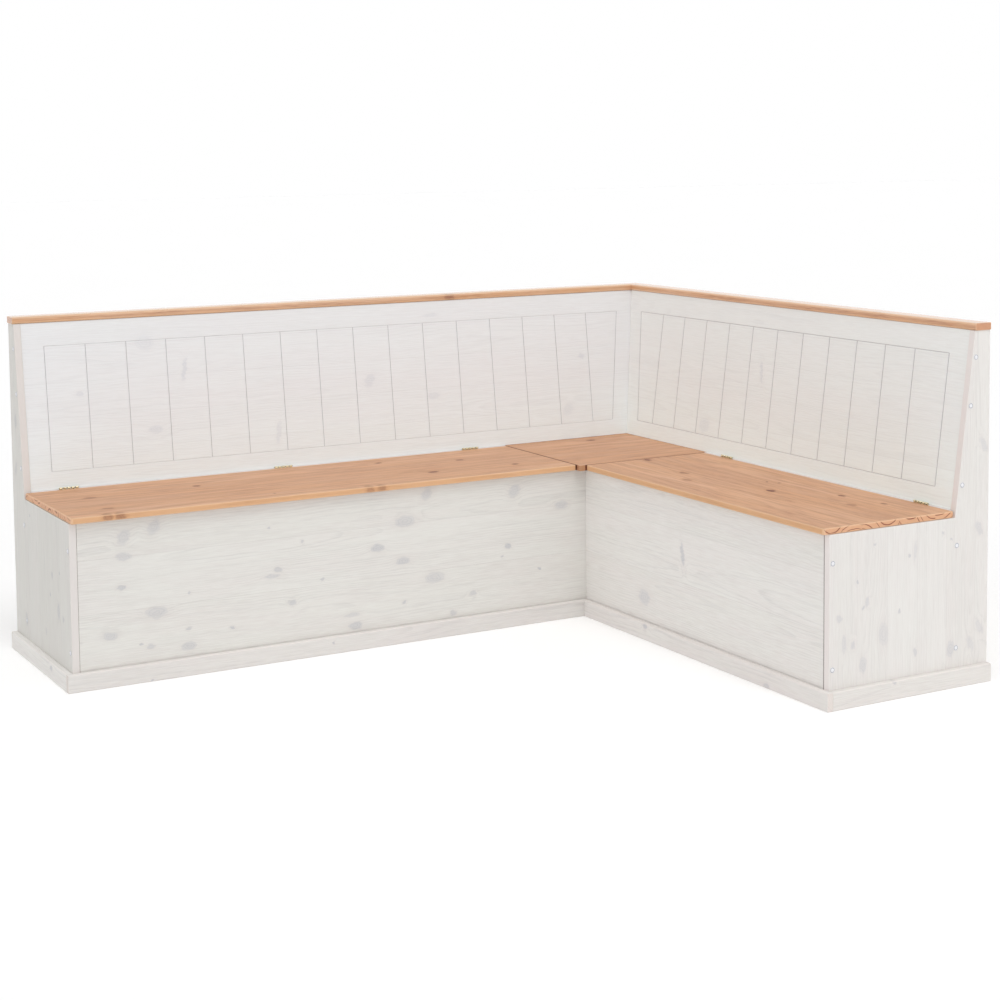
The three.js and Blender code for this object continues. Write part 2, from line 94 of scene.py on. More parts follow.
# Grooves in the backrests
GROOVE_WIDTH = 0.003
GROOVE_DEPTH = 0.0018
LEVEL_GROOVE_SHARE = {"long": 0.55, "short": 0.8}
UPRIGHT_GROOVE_SHARE = {"long": 0.8, "short": 1.2}
GROOVE_TOP_MARGIN = 0.066
GROOVE_BOTTOM_MARGIN = 0.050
GROOVE_SIDE_MARGIN = {"long": 0.063, "short": 0.071}
GROOVE_CORNER_MARGIN = {"long": 0.056, "short": 0.064}
FIRST_PLANK_ALONG = {"long": 0.2335, "short": 0.2525}
PLANK_PITCH = {"long": 0.1187, "short": 0.1202}
PLANK_LINES = {"long": 15, "short": 11}
CUTTER_HALF_ANGLE = math.radians(30)

# Rounded and eased edges
EDGE_EASING = 0.0012
EASING_SEGMENTS = 2
RAIL_ROUNDING = 0.005
LID_ROUNDING = 0.003
LID_CORNER_ROUNDING = 0.006
PLINTH_ROUNDING = 0.003
ROUND_SEGMENTS = 4
JOINT_EASING = 0.0004
# The front panels' chamfer beside the side panels is painted dark as the shadow in that gap: its width and
# its strength on each leg
GAP_SHADOW_CHAMFER = {"long": 0.001, "short": 0.0034}
GAP_SHADOW_SHARE = {"long": 0.5, "short": 1}
SHADED_BESIDE_GAP = 0.004

# How faces and edges are told apart. A face looks one way when the named share of its normal points there.
CORNER_ANGLE = math.radians(50)
SMOOTH_ANGLE = math.radians(35)
GROOVE_LEAST_ANGLE = math.radians(20)
FLAT_ANGLE = math.radians(0.5)
FACING_SHARE = 0.5
NEAR = 0.00005
QUARTER = math.radians(90)

# Hinges
LEAF_THICKNESS = 0.001
KNUCKLE_COUNT = 5
KNUCKLE_GAP = 0.0036
KNUCKLE_RADIUS = 0.003
BORE_RADIUS = 0.0015
KNUCKLE_EASING = 0.0003
LEAF_EASING = 0.0001
SWEEP_CLEARANCE = 0.0004
SCREW_RADIUS = 0.0016
SCREW_FROM_END = 0.012
SCREW_FROM_BOTTOM = 0.007
SCREW_GAP = 0.00005
SCREW_SLOT_WIDTH = 0.0006
SCREW_SLOT_DEPTH = 0.0004
SCREW_SLOT_SHARE = 0.8
ROUND_SIDES = 24

# Screw cover caps
CAP_SIDES = 32
CAP_EDGE_HEIGHT = 0.0006
CAP_STEM_RADIUS = 0.0032
CAP_DOME_STEPS = 5
CAP_RIM = 0.0006
CAP_RING_WIDTH = 0.0012
CAP_RING_DEPTH = 0.0004


def tone(red, green, blue):
    """A colour from its screen values of 0 to 255."""
    shares = [value / 255 for value in (red, green, blue)]
    return (*(s / 12.92 if s <= 0.04045 else ((s + 0.055) / 1.055) ** 2.4 for s in shares), 1)


# Colours and finishes of the three kinds of pine. A layer is a colour, and how strongly it covers.
# The layer for the gaps between parts is painted shadow.
WHITE_PALETTE = {
    "pale stave": tone(234, 232, 228),
    "dark stave": tone(228, 225, 220),
    "patch": (tone(230, 222, 220), 0.35),
    "streak": (tone(219, 216, 212), 0.25),
    "late wood": (tone(204, 201, 199), 0.34),
    "fibre": (tone(245, 245, 242), 0.35),
    "seam": (tone(198, 192, 190), 0.3),
    "edge": (tone(246, 238, 236), 0.85),
    "end grain": (tone(224, 212, 204), 0.5),
    "end rings": (tone(204, 194, 188), 0.4),
    "halo": (tone(222, 216, 214), 0.3),
    "knot": (tone(198, 199, 204), 0.8),
    "knot rings": (tone(180, 182, 189), 0.5),
    "wash": (tone(237, 231, 227), 0.5),
    "worn": (tone(240, 234, 230), 0.5),
    "groove": (tone(192, 184, 184), 0.85),
    "joint": (tone(112, 92, 96), 0.9),
    "ring spacing": 0.0062,
    "roughness": 0.62,
    "relief": 0.5,
}
HONEY_PALETTE = {
    "pale stave": tone(218, 172, 138),
    "dark stave": tone(198, 148, 114),
    "patch": (tone(212, 156, 108), 0.55),
    "streak": (tone(170, 116, 86), 0.55),
    "late wood": (tone(168, 112, 76), 0.46),
    "fibre": (tone(230, 186, 150), 0.5),
    "seam": (tone(176, 126, 94), 0.4),
    "edge": (tone(226, 176, 128), 0.6),
    "end grain": (tone(222, 170, 132), 0.8),
    "end rings": (tone(134, 66, 42), 1),
    "halo": (tone(186, 132, 96), 0.4),
    "knot": (tone(126, 68, 46), 1),
    "knot rings": (tone(84, 44, 30), 0.6),
    "wash": (tone(234, 196, 160), 0.5),
    "worn": (tone(234, 196, 160), 0.55),
    "groove": (tone(150, 100, 70), 0.5),
    "joint": (tone(112, 56, 34), 0.9),
    "ring spacing": 0.015,
    "roughness": 0.5,
    "relief": 0.35,
}
RAIL_PALETTE = {
    **HONEY_PALETTE,
    "patch": (tone(214, 154, 100), 0.7),
    "end grain": (tone(196, 140, 102), 0.9),
    "coat": 1,
}
RAW_PALETTE = {
    "pale stave": tone(228, 207, 170),
    "dark stave": tone(216, 192, 152),
    "patch": (tone(222, 194, 158), 0.5),
    "streak": (tone(206, 176, 132), 0.45),
    "late wood": (tone(190, 150, 104), 0.5),
    "fibre": (tone(238, 222, 190), 0.5),
    "seam": (tone(170, 132, 92), 0.35),
    "edge": (tone(222, 194, 152), 0.4),
    "end grain": (tone(214, 184, 142), 0.5),
    "end rings": (tone(160, 118, 78), 0.6),
    "halo": (tone(196, 158, 116), 0.4),
    "knot": (tone(142, 98, 64), 1),
    "knot rings": (tone(104, 66, 42), 0.6),
    "wash": (tone(234, 216, 182), 0.4),
    "worn": (tone(234, 216, 182), 0.4),
    "groove": (tone(170, 132, 92), 0.5),
    "joint": (tone(170, 132, 92), 0.5),
    "ring spacing": 0.008,
    "roughness": 0.75,
    "relief": 0.6,
}

# Painted light and shade: shares of red, green and blue by which some boards are made lighter, darker or
# cooler beside the rest, so that each shows as lit where it stands, over a little of its own tone. The
# backrests' shares hold for the side that looks into the room, where a cooler tint is added towards the
# seats.
BOARD_LIGHT_AND_SHADE_SHARES = {
    "left_side_panel": (0.87, 0.88, 0.87),
    "right_side_panel": (0.95, 0.95, 0.95),
    "long_front_panel": (0.95, 0.95, 0.94),
    "short_front_panel": (1.04, 1.04, 1.04),
    "long_backrest_panel": (1.03, 1.09, 1.15),
    "short_backrest_panel": (1.08, 1.14, 1.17),
    "corner_seat_board": (0.96, 0.94, 0.93),
    "long_top_rail": (1.02, 1.03, 1.0),
    "short_top_rail": (1.03, 1.0, 0.95),
    "long_front_plinth": (0.93, 0.915, 0.915),
    "short_front_plinth": (0.98, 0.96, 0.96),
    "right_plinth": (0.93, 0.915, 0.91),
}

# Painted light: the backrests' room side is made cooler towards the seats, up to this height, against the
# warm light the seats throw back on it
NEAR_SEAT_BOUNCE_CANCEL_SHARES = (1.04, 1.09, 1.09)
NEAR_SEAT_HEIGHT = 0.25

# How much of the thin wash the side panels have beside the washed boards, and the sheen of the rails' coat
SIDE_WASH_SHARE = 0.4
RAIL_COAT_ROUGHNESS = 0.15

# How strongly the growth rings show on the ends of some boards, and of the rest. On the long lid the
# stronger rings also darken its end, as painted shade.
END_RING_AND_SHADE_SHARES = {"short_seat_lid": 1, "long_seat_lid": 0.8, "short_front_plinth": 0.6}
USUAL_END_RING_SHARE = 0.3

# The figure of pine: sizes of its staves, growth rings, fibres and patches
STAVE_WIDTH = 0.098
STAVE_OFFSET = 9
PITH_DEPTH = 0.012
PITH_DEPTH_SPREAD = 0.13
PITH_WANDER = 0.05
WANDER_LENGTH = 0.7
RIPPLE_LENGTH = 0.09
RIPPLE_WIDTH = 0.02
RIPPLE_HEIGHT = 0.0035
KNOT_SWELL = 0.011
FIBRE_LENGTH = 0.05
FIBRE_WIDTH = 0.0028
STREAK_LENGTH = 0.2
STREAK_WIDTH = 0.016
FADE_LENGTH = 0.5
FADE_WIDTH = 0.13
PATCH_LENGTH = 0.35
PATCH_WIDTH = 0.07
SEAM_WIDTH = 0.0012
WOOD_RELIEF = 0.0004
SIDE_SEAM_DEPTH = 0.044
FRONT_STAVE_WIDTH = 0.145
FRONT_SEAM_HEIGHT = 0.05
SEAT_STAVE_WIDTH = 0.06
KNOT_BEND_LENGTH = 0.02
KNOT_BEND_WIDTH = 0.009
KNOT_BENDING = (0.019, 0.011, 0)
LEAST_KNOT_SHARE = 0.6
NO_KNOT_NEAR = 100
AREA_OF_ONE_KNOT = 0.05

# Within a growth ring: where the late wood starts, is full and ends, and how the rings' widths change
LATE_WOOD_START_SHARE = 0.35
LATE_WOOD_FULL_SHARE = 0.9
LATE_WOOD_END_SHARE = 0.92
LATE_WOOD_SHARPNESS = 2
RING_CHANGE_PACE = 0.4
RING_CHANGE = 3

# Between which shares of their noise the figure's parts show, and what the late wood fades to
FADE_SHARES = (0.35, 0.6, 0.15, 1)
FIBRE_SHARES = (0.3, 0.7)
STREAK_SHARES = (0.43, 0.62)
PATCH_SHARES = (0.35, 0.65)
END_RING_START_SHARE = 0.6
FIBRE_ROUGHNESS = 0.12

# Reach of a knot, its halo and its rings, as shares of the knot's own size, and how rings swell round it
KNOT_CORE_SHARE = 0.65
KNOT_RIM_SHARE = 1.2
HALO_RIM_SHARE = 2.2
KNOT_RING_COUNT = 3
KNOT_RING_SHARES = (0.4, 0.9)
KNOT_SWELL_FALL = 0.35

# Knots: half length along the grain, half width across it, lean in degrees, and the share that they cover
KNOT_KINDS = {
    "pin": (0.0050, 0.0042, 0, 0.85),
    "small": (0.011, 0.0075, 0, 0.7),
    "oval": (0.022, 0.0115, 0, 0.62),
    "large": (0.031, 0.016, 0, 0.5),
    "round": (0.028, 0.023, 0, 0.45),
    "leaf": (0.016, 0.022, -35, 0.5),
    "spike": (0.0080, 0.033, -10, 0.7),
    "dash": (0.026, 0.006, 0, 0.45),
    "branch": (0.010, 0.022, 60, 0.45),
    "seat": (0.011, 0.0080, 0, 0.95),
    "seat large": (0.015, 0.0105, 0, 1),
    "seat faint": (0.017, 0.0110, 0, 0.45),
    "edge": (0.013, 0.015, 20, 0.4),
}

# Places of the knots that can be made out, as shares of a board along its grain and across it
BOARD_KNOT_SHARES = {
    "long_front_panel": [
        (0.922, 0.885, "leaf"), (0.923, 0.770, "oval"), (0.927, 0.581, "small"), (0.810, 0.499, "pin"),
        (0.869, 0.405, "large"), (0.948, 0.300, "oval"), (0.814, 0.280, "pin"), (0.896, 0.225, "pin"),
        (0.880, 0.206, "small"), (0.814, 0.173, "oval"), (0.607, 0.733, "pin"), (0.666, 0.843, "pin"),
        (0.652, 0.571, "small"), (0.663, 0.535, "dash"), (0.568, 0.478, "pin"), (0.627, 0.354, "small"),
        (0.410, 0.782, "large"), (0.463, 0.630, "oval"), (0.414, 0.527, "oval"), (0.353, 0.391, "large"),
        (0.202, 0.536, "small"), (0.214, 0.470, "pin"), (0.137, 0.356, "pin"), (0.089, 0.772, "oval"),
        (0.413, 0.256, "pin"), (0.275, 0.252, "small"), (0.516, 0.221, "dash"), (0.508, 0.150, "oval"),
        (0.316, 0.140, "small"), (0.366, 0.950, "leaf"), (0.188, 0.902, "leaf"), (0.870, 0.930, "leaf"),
        (0.736, 0.250, "pin"),
    ],
    "short_front_panel": [
        (0.450, 0.625, "spike"), (0.281, 0.261, "round"),
    ],
    "long_backrest_panel": [
        (0.827, 0.843, "round"), (0.771, 0.661, "spike"), (0.924, 0.561, "small"), (0.819, 0.307, "oval"),
        (0.634, 0.222, "spike"), (0.379, 0.374, "oval"), (0.483, 0.505, "leaf"), (0.143, 0.202, "leaf"),
        (0.112, 0.564, "small"), (0.375, 0.905, "dash"),
    ],
    "short_backrest_panel": [
        (0.464, 0.577, "spike"), (0.302, 0.170, "round"),
    ],
    "right_side_panel": [
        (0.246, 0.937, "small"), (0.265, 0.791, "pin"), (0.278, 0.770, "small"), (0.184, 0.668, "large"),
        (0.175, 0.908, "dash"), (0.166, 0.853, "small"), (0.116, 0.468, "small"), (0.106, 0.793, "oval"),
        (0.439, 0.292, "pin"), (0.403, 0.471, "dash"), (0.390, 0.505, "pin"), (0.436, 0.727, "pin"),
        (0.240, 0.568, "pin"), (0.340, 0.830, "pin"), (0.678, 0.035, "branch"), (0.440, 0.060, "branch"),
        (0.157, 0.050, "branch"), (0.112, 0.110, "branch"), (0.108, 0.240, "oval"), (0.420, 0.235, "pin"),
    ],
    "left_side_panel": [
        (0.438, 0.313, "pin"), (0.238, 0.652, "pin"), (0.191, 0.868, "small"), (0.111, 0.199, "oval"),
        (0.119, 0.558, "small"), (0.318, 0.820, "pin"), (0.705, 0.091, "oval"), (0.300, 0.690, "small"),
        (0.560, 0.070, "branch"), (0.205, 0.790, "oval"),
    ],
    "long_seat_lid": [
        (0.315, 0.175, "seat"), (0.164, 0.373, "seat"), (0.271, 0.715, "seat large"),
        (0.094, 0.737, "seat"), (0.709, 0.347, "seat"), (0.913, 0.388, "seat faint"),
        (0.918, 0.800, "seat faint"), (0.615, 0.880, "pin"), (0.936, 0.985, "edge"), (0.914, 0.990, "edge"),
        (0.441, 0.985, "edge"), (0.417, 0.990, "edge"),
    ],
    "short_seat_lid": [
        (0.019, 0.521, "seat large"), (0.564, 0.516, "seat large"), (0.238, 0.608, "seat faint"),
        (0.327, 0.745, "seat faint"), (0.459, 0.340, "pin"), (0.490, 0.300, "pin"), (0.710, 0.240, "seat"),
        (0.812, 0.386, "seat faint"), (0.844, 0.191, "seat"),
    ],
    "corner_seat_board": [
        (0.400, 0.160, "seat large"),
    ],
}
SCATTERED_KINDS = ("pin", "small", "pin", "oval")

# Slots of the Mix node for colours
MIX_SHARE, MIX_FIRST, MIX_SECOND, MIX_COLOUR = 0, 6, 7, 2

# Brass and cap plastic
BRASS_PALE = tone(243, 234, 200)
BRASS_DARK = tone(132, 110, 72)
BRASS_PIN_SHADE_BROWN = tone(66, 52, 34)
BRASS_TARNISH_SIZE = 0.004
BRASS_TARNISH_SHARES = (0.48, 0.75)
BRASS_SCRATCH_LENGTH = 0.006
BRASS_SCRATCH_WIDTH = 0.0002
BRASS_DULLNESS_SHARES = (0.3, 1.3)
BRASS_ROUGHNESS = (0.24, 0.42)
BRASS_RELIEF = 0.00002
BRASS_RELIEF_SHARE = 0.4
CAP_TONES = (tone(240, 240, 243), tone(230, 230, 235))
CAP_RING_SHADE_TONE = tone(150, 152, 160)
CAP_MOTTLE_SIZE = 0.003
CAP_MOTTLE_SHARES = (0.3, 0.7)
CAP_ROUGHNESS = (0.38, 0.5)
CAP_RELIEF = 0.00003
CAP_RELIEF_SHARE = 0.3

# Light, floor and camera. The camera stands where the picture was taken from, measured from the room corner.
WORLD_LIGHT = 0.6
KEY_STRENGTH = 0.85
KEY_COMES_FROM = Vector((-0.1, -0.5, 1))
KEY_SOFTNESS = math.radians(32)
LEFT_FILL_STRENGTH = 0.38
LEFT_FILL_COMES_FROM = Vector((-1, -0.25, 0.45))
LEFT_FILL_SOFTNESS = math.radians(60)
RIGHT_FILL_WATTS = 29
RIGHT_FILL_SIZE = 3
RIGHT_FILL_PLACE = Vector((2.2, -4.6, 2))
RIGHT_FILL_AIM = Vector((0, 0, 0.5))
FLOOR_SIZE = 80
FLOOR_DROP = 0.0002
FLOOR_TONES = (tone(250, 250, 250), tone(253, 253, 253))
FLOOR_ROUGHNESS = (0.9, 1)
FLOOR_RELIEF = 0.0002
FLOOR_RELIEF_SHARE = 0.1
FLOOR_LIFT = 0.12
CAMERA_FROM_CORNER = Vector((-3.5494, -5.4385, 1.4349))
CAMERA_TURN = math.radians(29.849)
CAMERA_TILT = math.radians(-4.812)
CAMERA_ROLL = math.radians(-0.479)
CAMERA_SENSOR_MM = 36
CAMERA_LENS_MM = 70.24
CAMERA_SHIFT_SHARES = (-0.0242, -0.20)

# Leg measures, and the ways a board's grain can run: along the grain, across it, and through the board
ALONG, DEPTH, HEIGHT = range(3)
UPRIGHT_BOARD = (ALONG, HEIGHT, DEPTH)
FLAT_BOARD = (ALONG, DEPTH, HEIGHT)
END_BOARD = (HEIGHT, DEPTH, ALONG)
END_PLINTH = (DEPTH, HEIGHT, ALONG)


class Leg:
    """One leg of the bench, with its own measures."""

    def __init__(self, name, end_name, mirrored):
        self.name = name
        self.end_name = end_name
        self.mirrored = mirrored

    def direction(self, along, depth, height):
        """A way in leg measures, as one in the scene."""
        if self.mirrored:
            return Vector((-depth, -along, height))
        return Vector((-along, -depth, height))

    def point(self, along, depth, height):
        """A place in leg measures, as one in the scene."""
        return ROOM_CORNER + self.direction(along, depth, height)

    def measure(self, place):
        """Along, depth and height of a place in the scene, as one vector."""
        out = (ROOM_CORNER.x - place.x, ROOM_CORNER.y - place.y)
        along, depth = reversed(out) if self.mirrored else out
        return Vector((along, depth, place.z))

    def box(self, node):
        """Lowest and highest corner of a node in leg measures."""
        ends = [self.measure(corner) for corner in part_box(node)]
        return Vector(map(min, *ends)), Vector(map(max, *ends))

    def letters(self, measures):
        """The scene's axes that go with some of the leg's measures."""
        along, depth = ("Y", "X") if self.mirrored else ("X", "Y")
        return "".join((along, depth, "Z")[measure] for measure in measures)


LONG = Leg("long", "left", False)
SHORT = Leg("short", "right", True)


# Modelling steps
def add_block(leg, low, high):
    """Adds a cube at its size and place, given in leg measures."""
    ends = (leg.point(*low), leg.point(*high))
    lowest = Vector(map(min, *ends))
    highest = Vector(map(max, *ends))
    bpy.ops.mesh.primitive_cube_add(size=1, location=(lowest + highest) / 2, scale=highest - lowest)


def open_piece():
    """Moves a new primitive's place and size into its mesh, and opens it in edit mode."""
    bpy.ops.object.transform_apply(location=True, rotation=True, scale=True)
    bpy.ops.object.mode_set(mode="EDIT")


def start_block(leg, low, high):
    """Starts a piece as a block between two corners, given in leg measures."""
    add_block(leg, low, high)
    open_piece()


def edit_mesh():
    return bmesh.from_edit_mesh(bpy.context.object.data)


def pick(kind, test):
    """Selects only the vertices, edges or faces that pass a test."""
    bpy.ops.mesh.select_mode(type=kind)
    bpy.ops.mesh.select_all(action="DESELECT")
    mesh = edit_mesh()
    elements = {"VERT": mesh.verts, "EDGE": mesh.edges, "FACE": mesh.faces}[kind]
    for element in elements:
        if test(element):
            element.select_set(True)
    mesh.select_flush_mode()
    bmesh.update_edit_mesh(bpy.context.object.data)


def mark(name, share=1):
    """Marks the selected faces in an attribute that the finish reads."""
    mesh = edit_mesh()
    layer = mesh.faces.layers.float.get(name) or mesh.faces.layers.float.new(name)
    for face in mesh.faces:
        if face.select:
            face[layer] = share
    bmesh.update_edit_mesh(bpy.context.object.data)


def corner_place(leg, corner):
    return leg.measure(corner.co)


def edge_middle(leg, edge):
    return leg.measure((edge.verts[0].co + edge.verts[1].co) / 2)


def face_middle(leg, face):
    return leg.measure(face.calc_center_median())


def looks(face, way):
    """True for a face that looks more or less along a way."""
    return face.normal.dot(way) > FACING_SHARE


def at_outer_front(leg, edge, high):
    """True for the upright edge where a board's front meets its outer end."""
    middle = edge_middle(leg, edge)
    return middle.x > high.x - NEAR and middle.y > high.y - NEAR


def cut_across(leg, measure, value):
    """Cuts the whole piece square to a leg measure, at one value of it."""
    way = Vector()
    way[measure] = 1
    normal = leg.direction(*way)
    bpy.ops.mesh.select_all(action="SELECT")
    bpy.ops.mesh.bisect(plane_co=ROOM_CORNER + value * normal, plane_no=normal)


def grow(offset):
    """Extrudes the selected faces by an offset."""
    bpy.ops.mesh.extrude_region_move(TRANSFORM_OT_translate={"value": offset})


def join_flat_faces():
    """Joins the faces that lie side by side in one plane."""
    bpy.ops.mesh.select_all(action="SELECT")
    bpy.ops.mesh.dissolve_limited(angle_limit=FLAT_ANGLE)


def round_edges(width, segments):
    """Bevels the selected edges, and marks the narrow new faces, which the finish lightens as wear and as a
    painted highlight.
    """
    bpy.ops.mesh.bevel(offset=width, segments=segments, affect="EDGES")
    for face in edit_mesh().faces:
        longest = max(edge.calc_length() for edge in face.edges)
        if face.select and face.calc_area() / longest > 2 * width:
            face.select_set(False)
    mark("worn")


def is_corner(edge):
    """True where two faces meet at a clear outward angle."""
    return edge.is_manifold and edge.is_convex and edge.calc_face_angle() > CORNER_ANGLE


def ease_corners(width=EDGE_EASING, segments=EASING_SEGMENTS):
    """Eases every corner that is still sharp."""
    pick("EDGE", is_corner)
    round_edges(width, segments)


def mark_facing(leg, measure, name):
    """Marks the faces that look along a leg measure."""
    axis = "XYZ".index(leg.letters((measure,)))
    pick("FACE", lambda face: abs(face.normal[axis]) > math.cos(CORNER_ANGLE))
    mark(name)


def mark_ends_and_edges(leg, grain):
    """Marks the faces that look along the grain, and those that look across it."""
    mark_facing(leg, grain[0], "end grain")
    mark_facing(leg, grain[1], "edge")


def shift_picked(offset):
    bpy.ops.transform.translate(value=offset)


def add_rod(leg, radius, start, end, sides=ROUND_SIDES):
    """Adds a cylinder between two places in leg measures, to the open mesh or as a new object."""
    first, last = leg.point(*start), leg.point(*end)
    turn = (last - first).to_track_quat("Z", "Y").to_euler()
    bpy.ops.mesh.primitive_cylinder_add(
        vertices=sides,
        radius=radius,
        depth=(last - first).length,
        location=(first + last) / 2,
        rotation=turn,
    )


def rod_along(radius, along, axis):
    """Radius and both ends of a rod that runs along the leg on an axis."""
    return (radius, (along[0], axis.y, axis.z), (along[1], axis.y, axis.z))


def apply_modifier(kind, **settings):
    """Works a modifier into the current piece."""
    piece = bpy.context.object
    bpy.ops.object.modifier_add(type=kind)
    modifier = piece.modifiers[-1]
    for name, value in settings.items():
        setattr(modifier, name, value)
    bpy.ops.object.modifier_apply(modifier=modifier.name)


def combine(leg, operation, add, shapes):
    """Cuts or joins the open piece with shapes of one kind. The add function adds one closed shape."""
    piece = bpy.context.object
    bpy.ops.object.mode_set(mode="OBJECT")
    bpy.ops.object.select_all(action="DESELECT")
    add(leg, *shapes[0])
    other = bpy.context.object
    open_piece()
    for shape in shapes[1:]:
        add(leg, *shape)
    if operation == "UNION":
        ease_corners(KNUCKLE_EASING, 1)
    bpy.ops.object.mode_set(mode="OBJECT")
    bpy.ops.object.select_all(action="DESELECT")
    piece.select_set(True)
    bpy.context.view_layer.objects.active = piece
    apply_modifier("BOOLEAN", object=other, operation=operation, solver="EXACT", use_self=True)
    bpy.data.objects.remove(other)
    bpy.ops.object.mode_set(mode="EDIT")


def close_piece(node, slot, material):
    """Ends the modelling of a piece, which then stands for its node and rides on the node's body."""
    bpy.ops.object.mode_set(mode="OBJECT")
    bpy.ops.object.shade_smooth_by_angle(angle=SMOOTH_ANGLE)
    apply_modifier("WEIGHTED_NORMAL", keep_sharp=True)
    claim_piece(bpy.context.object, f"finished_{node}", BODY_OF_NODE[node], slot, material)
    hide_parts(node)
    bpy.ops.object.select_all(action="DESELECT")


def claim_piece(piece, name, body, slot, material):
    """Names a piece, and gives it its finish, its body and its slot."""
    piece.name = name
    piece.data.name = name
    piece.data.materials.clear()
    piece.data.materials.append(material)
    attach(piece, body)
    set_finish(piece, slot)


def copy_piece(source, name, matrix):
    """A copy with a mesh of its own, moved by a matrix."""
    mesh = source.data.copy()
    mesh.transform(matrix)
    copied = bpy.data.objects.new(name, mesh)
    bpy.context.scene.collection.objects.link(copied)
    return copied


# Materials
class Tree:
    """Adds nodes to one node tree. Sources are sockets of other nodes, or plain values."""

    def __init__(self, tree):
        self.tree = tree

    def node(self, kind, sources=(), **settings):
        node = self.tree.nodes.new(kind)
        for name, value in settings.items():
            setattr(node, name, value)
        for key, source in sources.items() if isinstance(sources, dict) else enumerate(sources):
            if isinstance(source, bpy.types.NodeSocket):
                self.tree.links.new(source, node.inputs[key])
            else:
                node.inputs[key].default_value = source
        return node

    def math(self, operation, *sources):
        return self.node("ShaderNodeMath", sources, operation=operation).outputs[0]

    def vector(self, *sources):
        return self.node("ShaderNodeCombineXYZ", sources).outputs[0]

    def stretched(self, place, *lengths):
        """A place counted in lengths of its own along each axis."""
        return self.vector_math("MULTIPLY", place, tuple(1 / length for length in lengths))

    def vector_math(self, operation, *sources):
        return self.node("ShaderNodeVectorMath", sources, operation=operation).outputs[0]

    def length(self, vector):
        return self.node("ShaderNodeVectorMath", (vector,), operation="LENGTH").outputs["Value"]

    def split(self, vector):
        return self.node("ShaderNodeSeparateXYZ", (vector,)).outputs

    def object_place(self):
        return self.node("ShaderNodeTexCoord").outputs["Object"]

    def noise(self, place, detail=1):
        return self.node("ShaderNodeTexNoise", {"Vector": place, "Scale": 1, "Detail": detail}).outputs

    def spread(self, value, low, high, low_out=0, high_out=1):
        """Turns a value between two others smoothly into one between two more."""
        sources = (value, low, high, low_out, high_out)
        return self.node("ShaderNodeMapRange", sources, interpolation_type="SMOOTHSTEP").outputs[0]

    def mix(self, share, first, second, blend="MIX"):
        sources = {MIX_SHARE: share, MIX_FIRST: first, MIX_SECOND: second}
        return self.node("ShaderNodeMix", sources, data_type="RGBA", blend_type=blend).outputs[MIX_COLOUR]

    def attribute(self, name):
        return self.node("ShaderNodeAttribute", attribute_name=name).outputs["Fac"]


def new_material(name):
    """A material with an empty tree, and the shader at its end."""
    material = bpy.data.materials.new(name)
    material.use_nodes = True
    material.node_tree.nodes.clear()
    build = Tree(material.node_tree)
    shader = build.node("ShaderNodeBsdfPrincipled")
    build.node("ShaderNodeOutputMaterial", (shader.outputs[0],))
    return material, build, shader


def finish_shader(build, shader, colour, roughness, height, relief, strength):
    """Links a colour, a roughness and a relief to a material's shader."""
    bump = build.node("ShaderNodeBump", {"Strength": strength, "Distance": relief, "Height": height})
    build.tree.links.new(colour, shader.inputs["Base Color"])
    build.tree.links.new(roughness, shader.inputs["Roughness"])
    build.tree.links.new(bump.outputs[0], shader.inputs["Normal"])


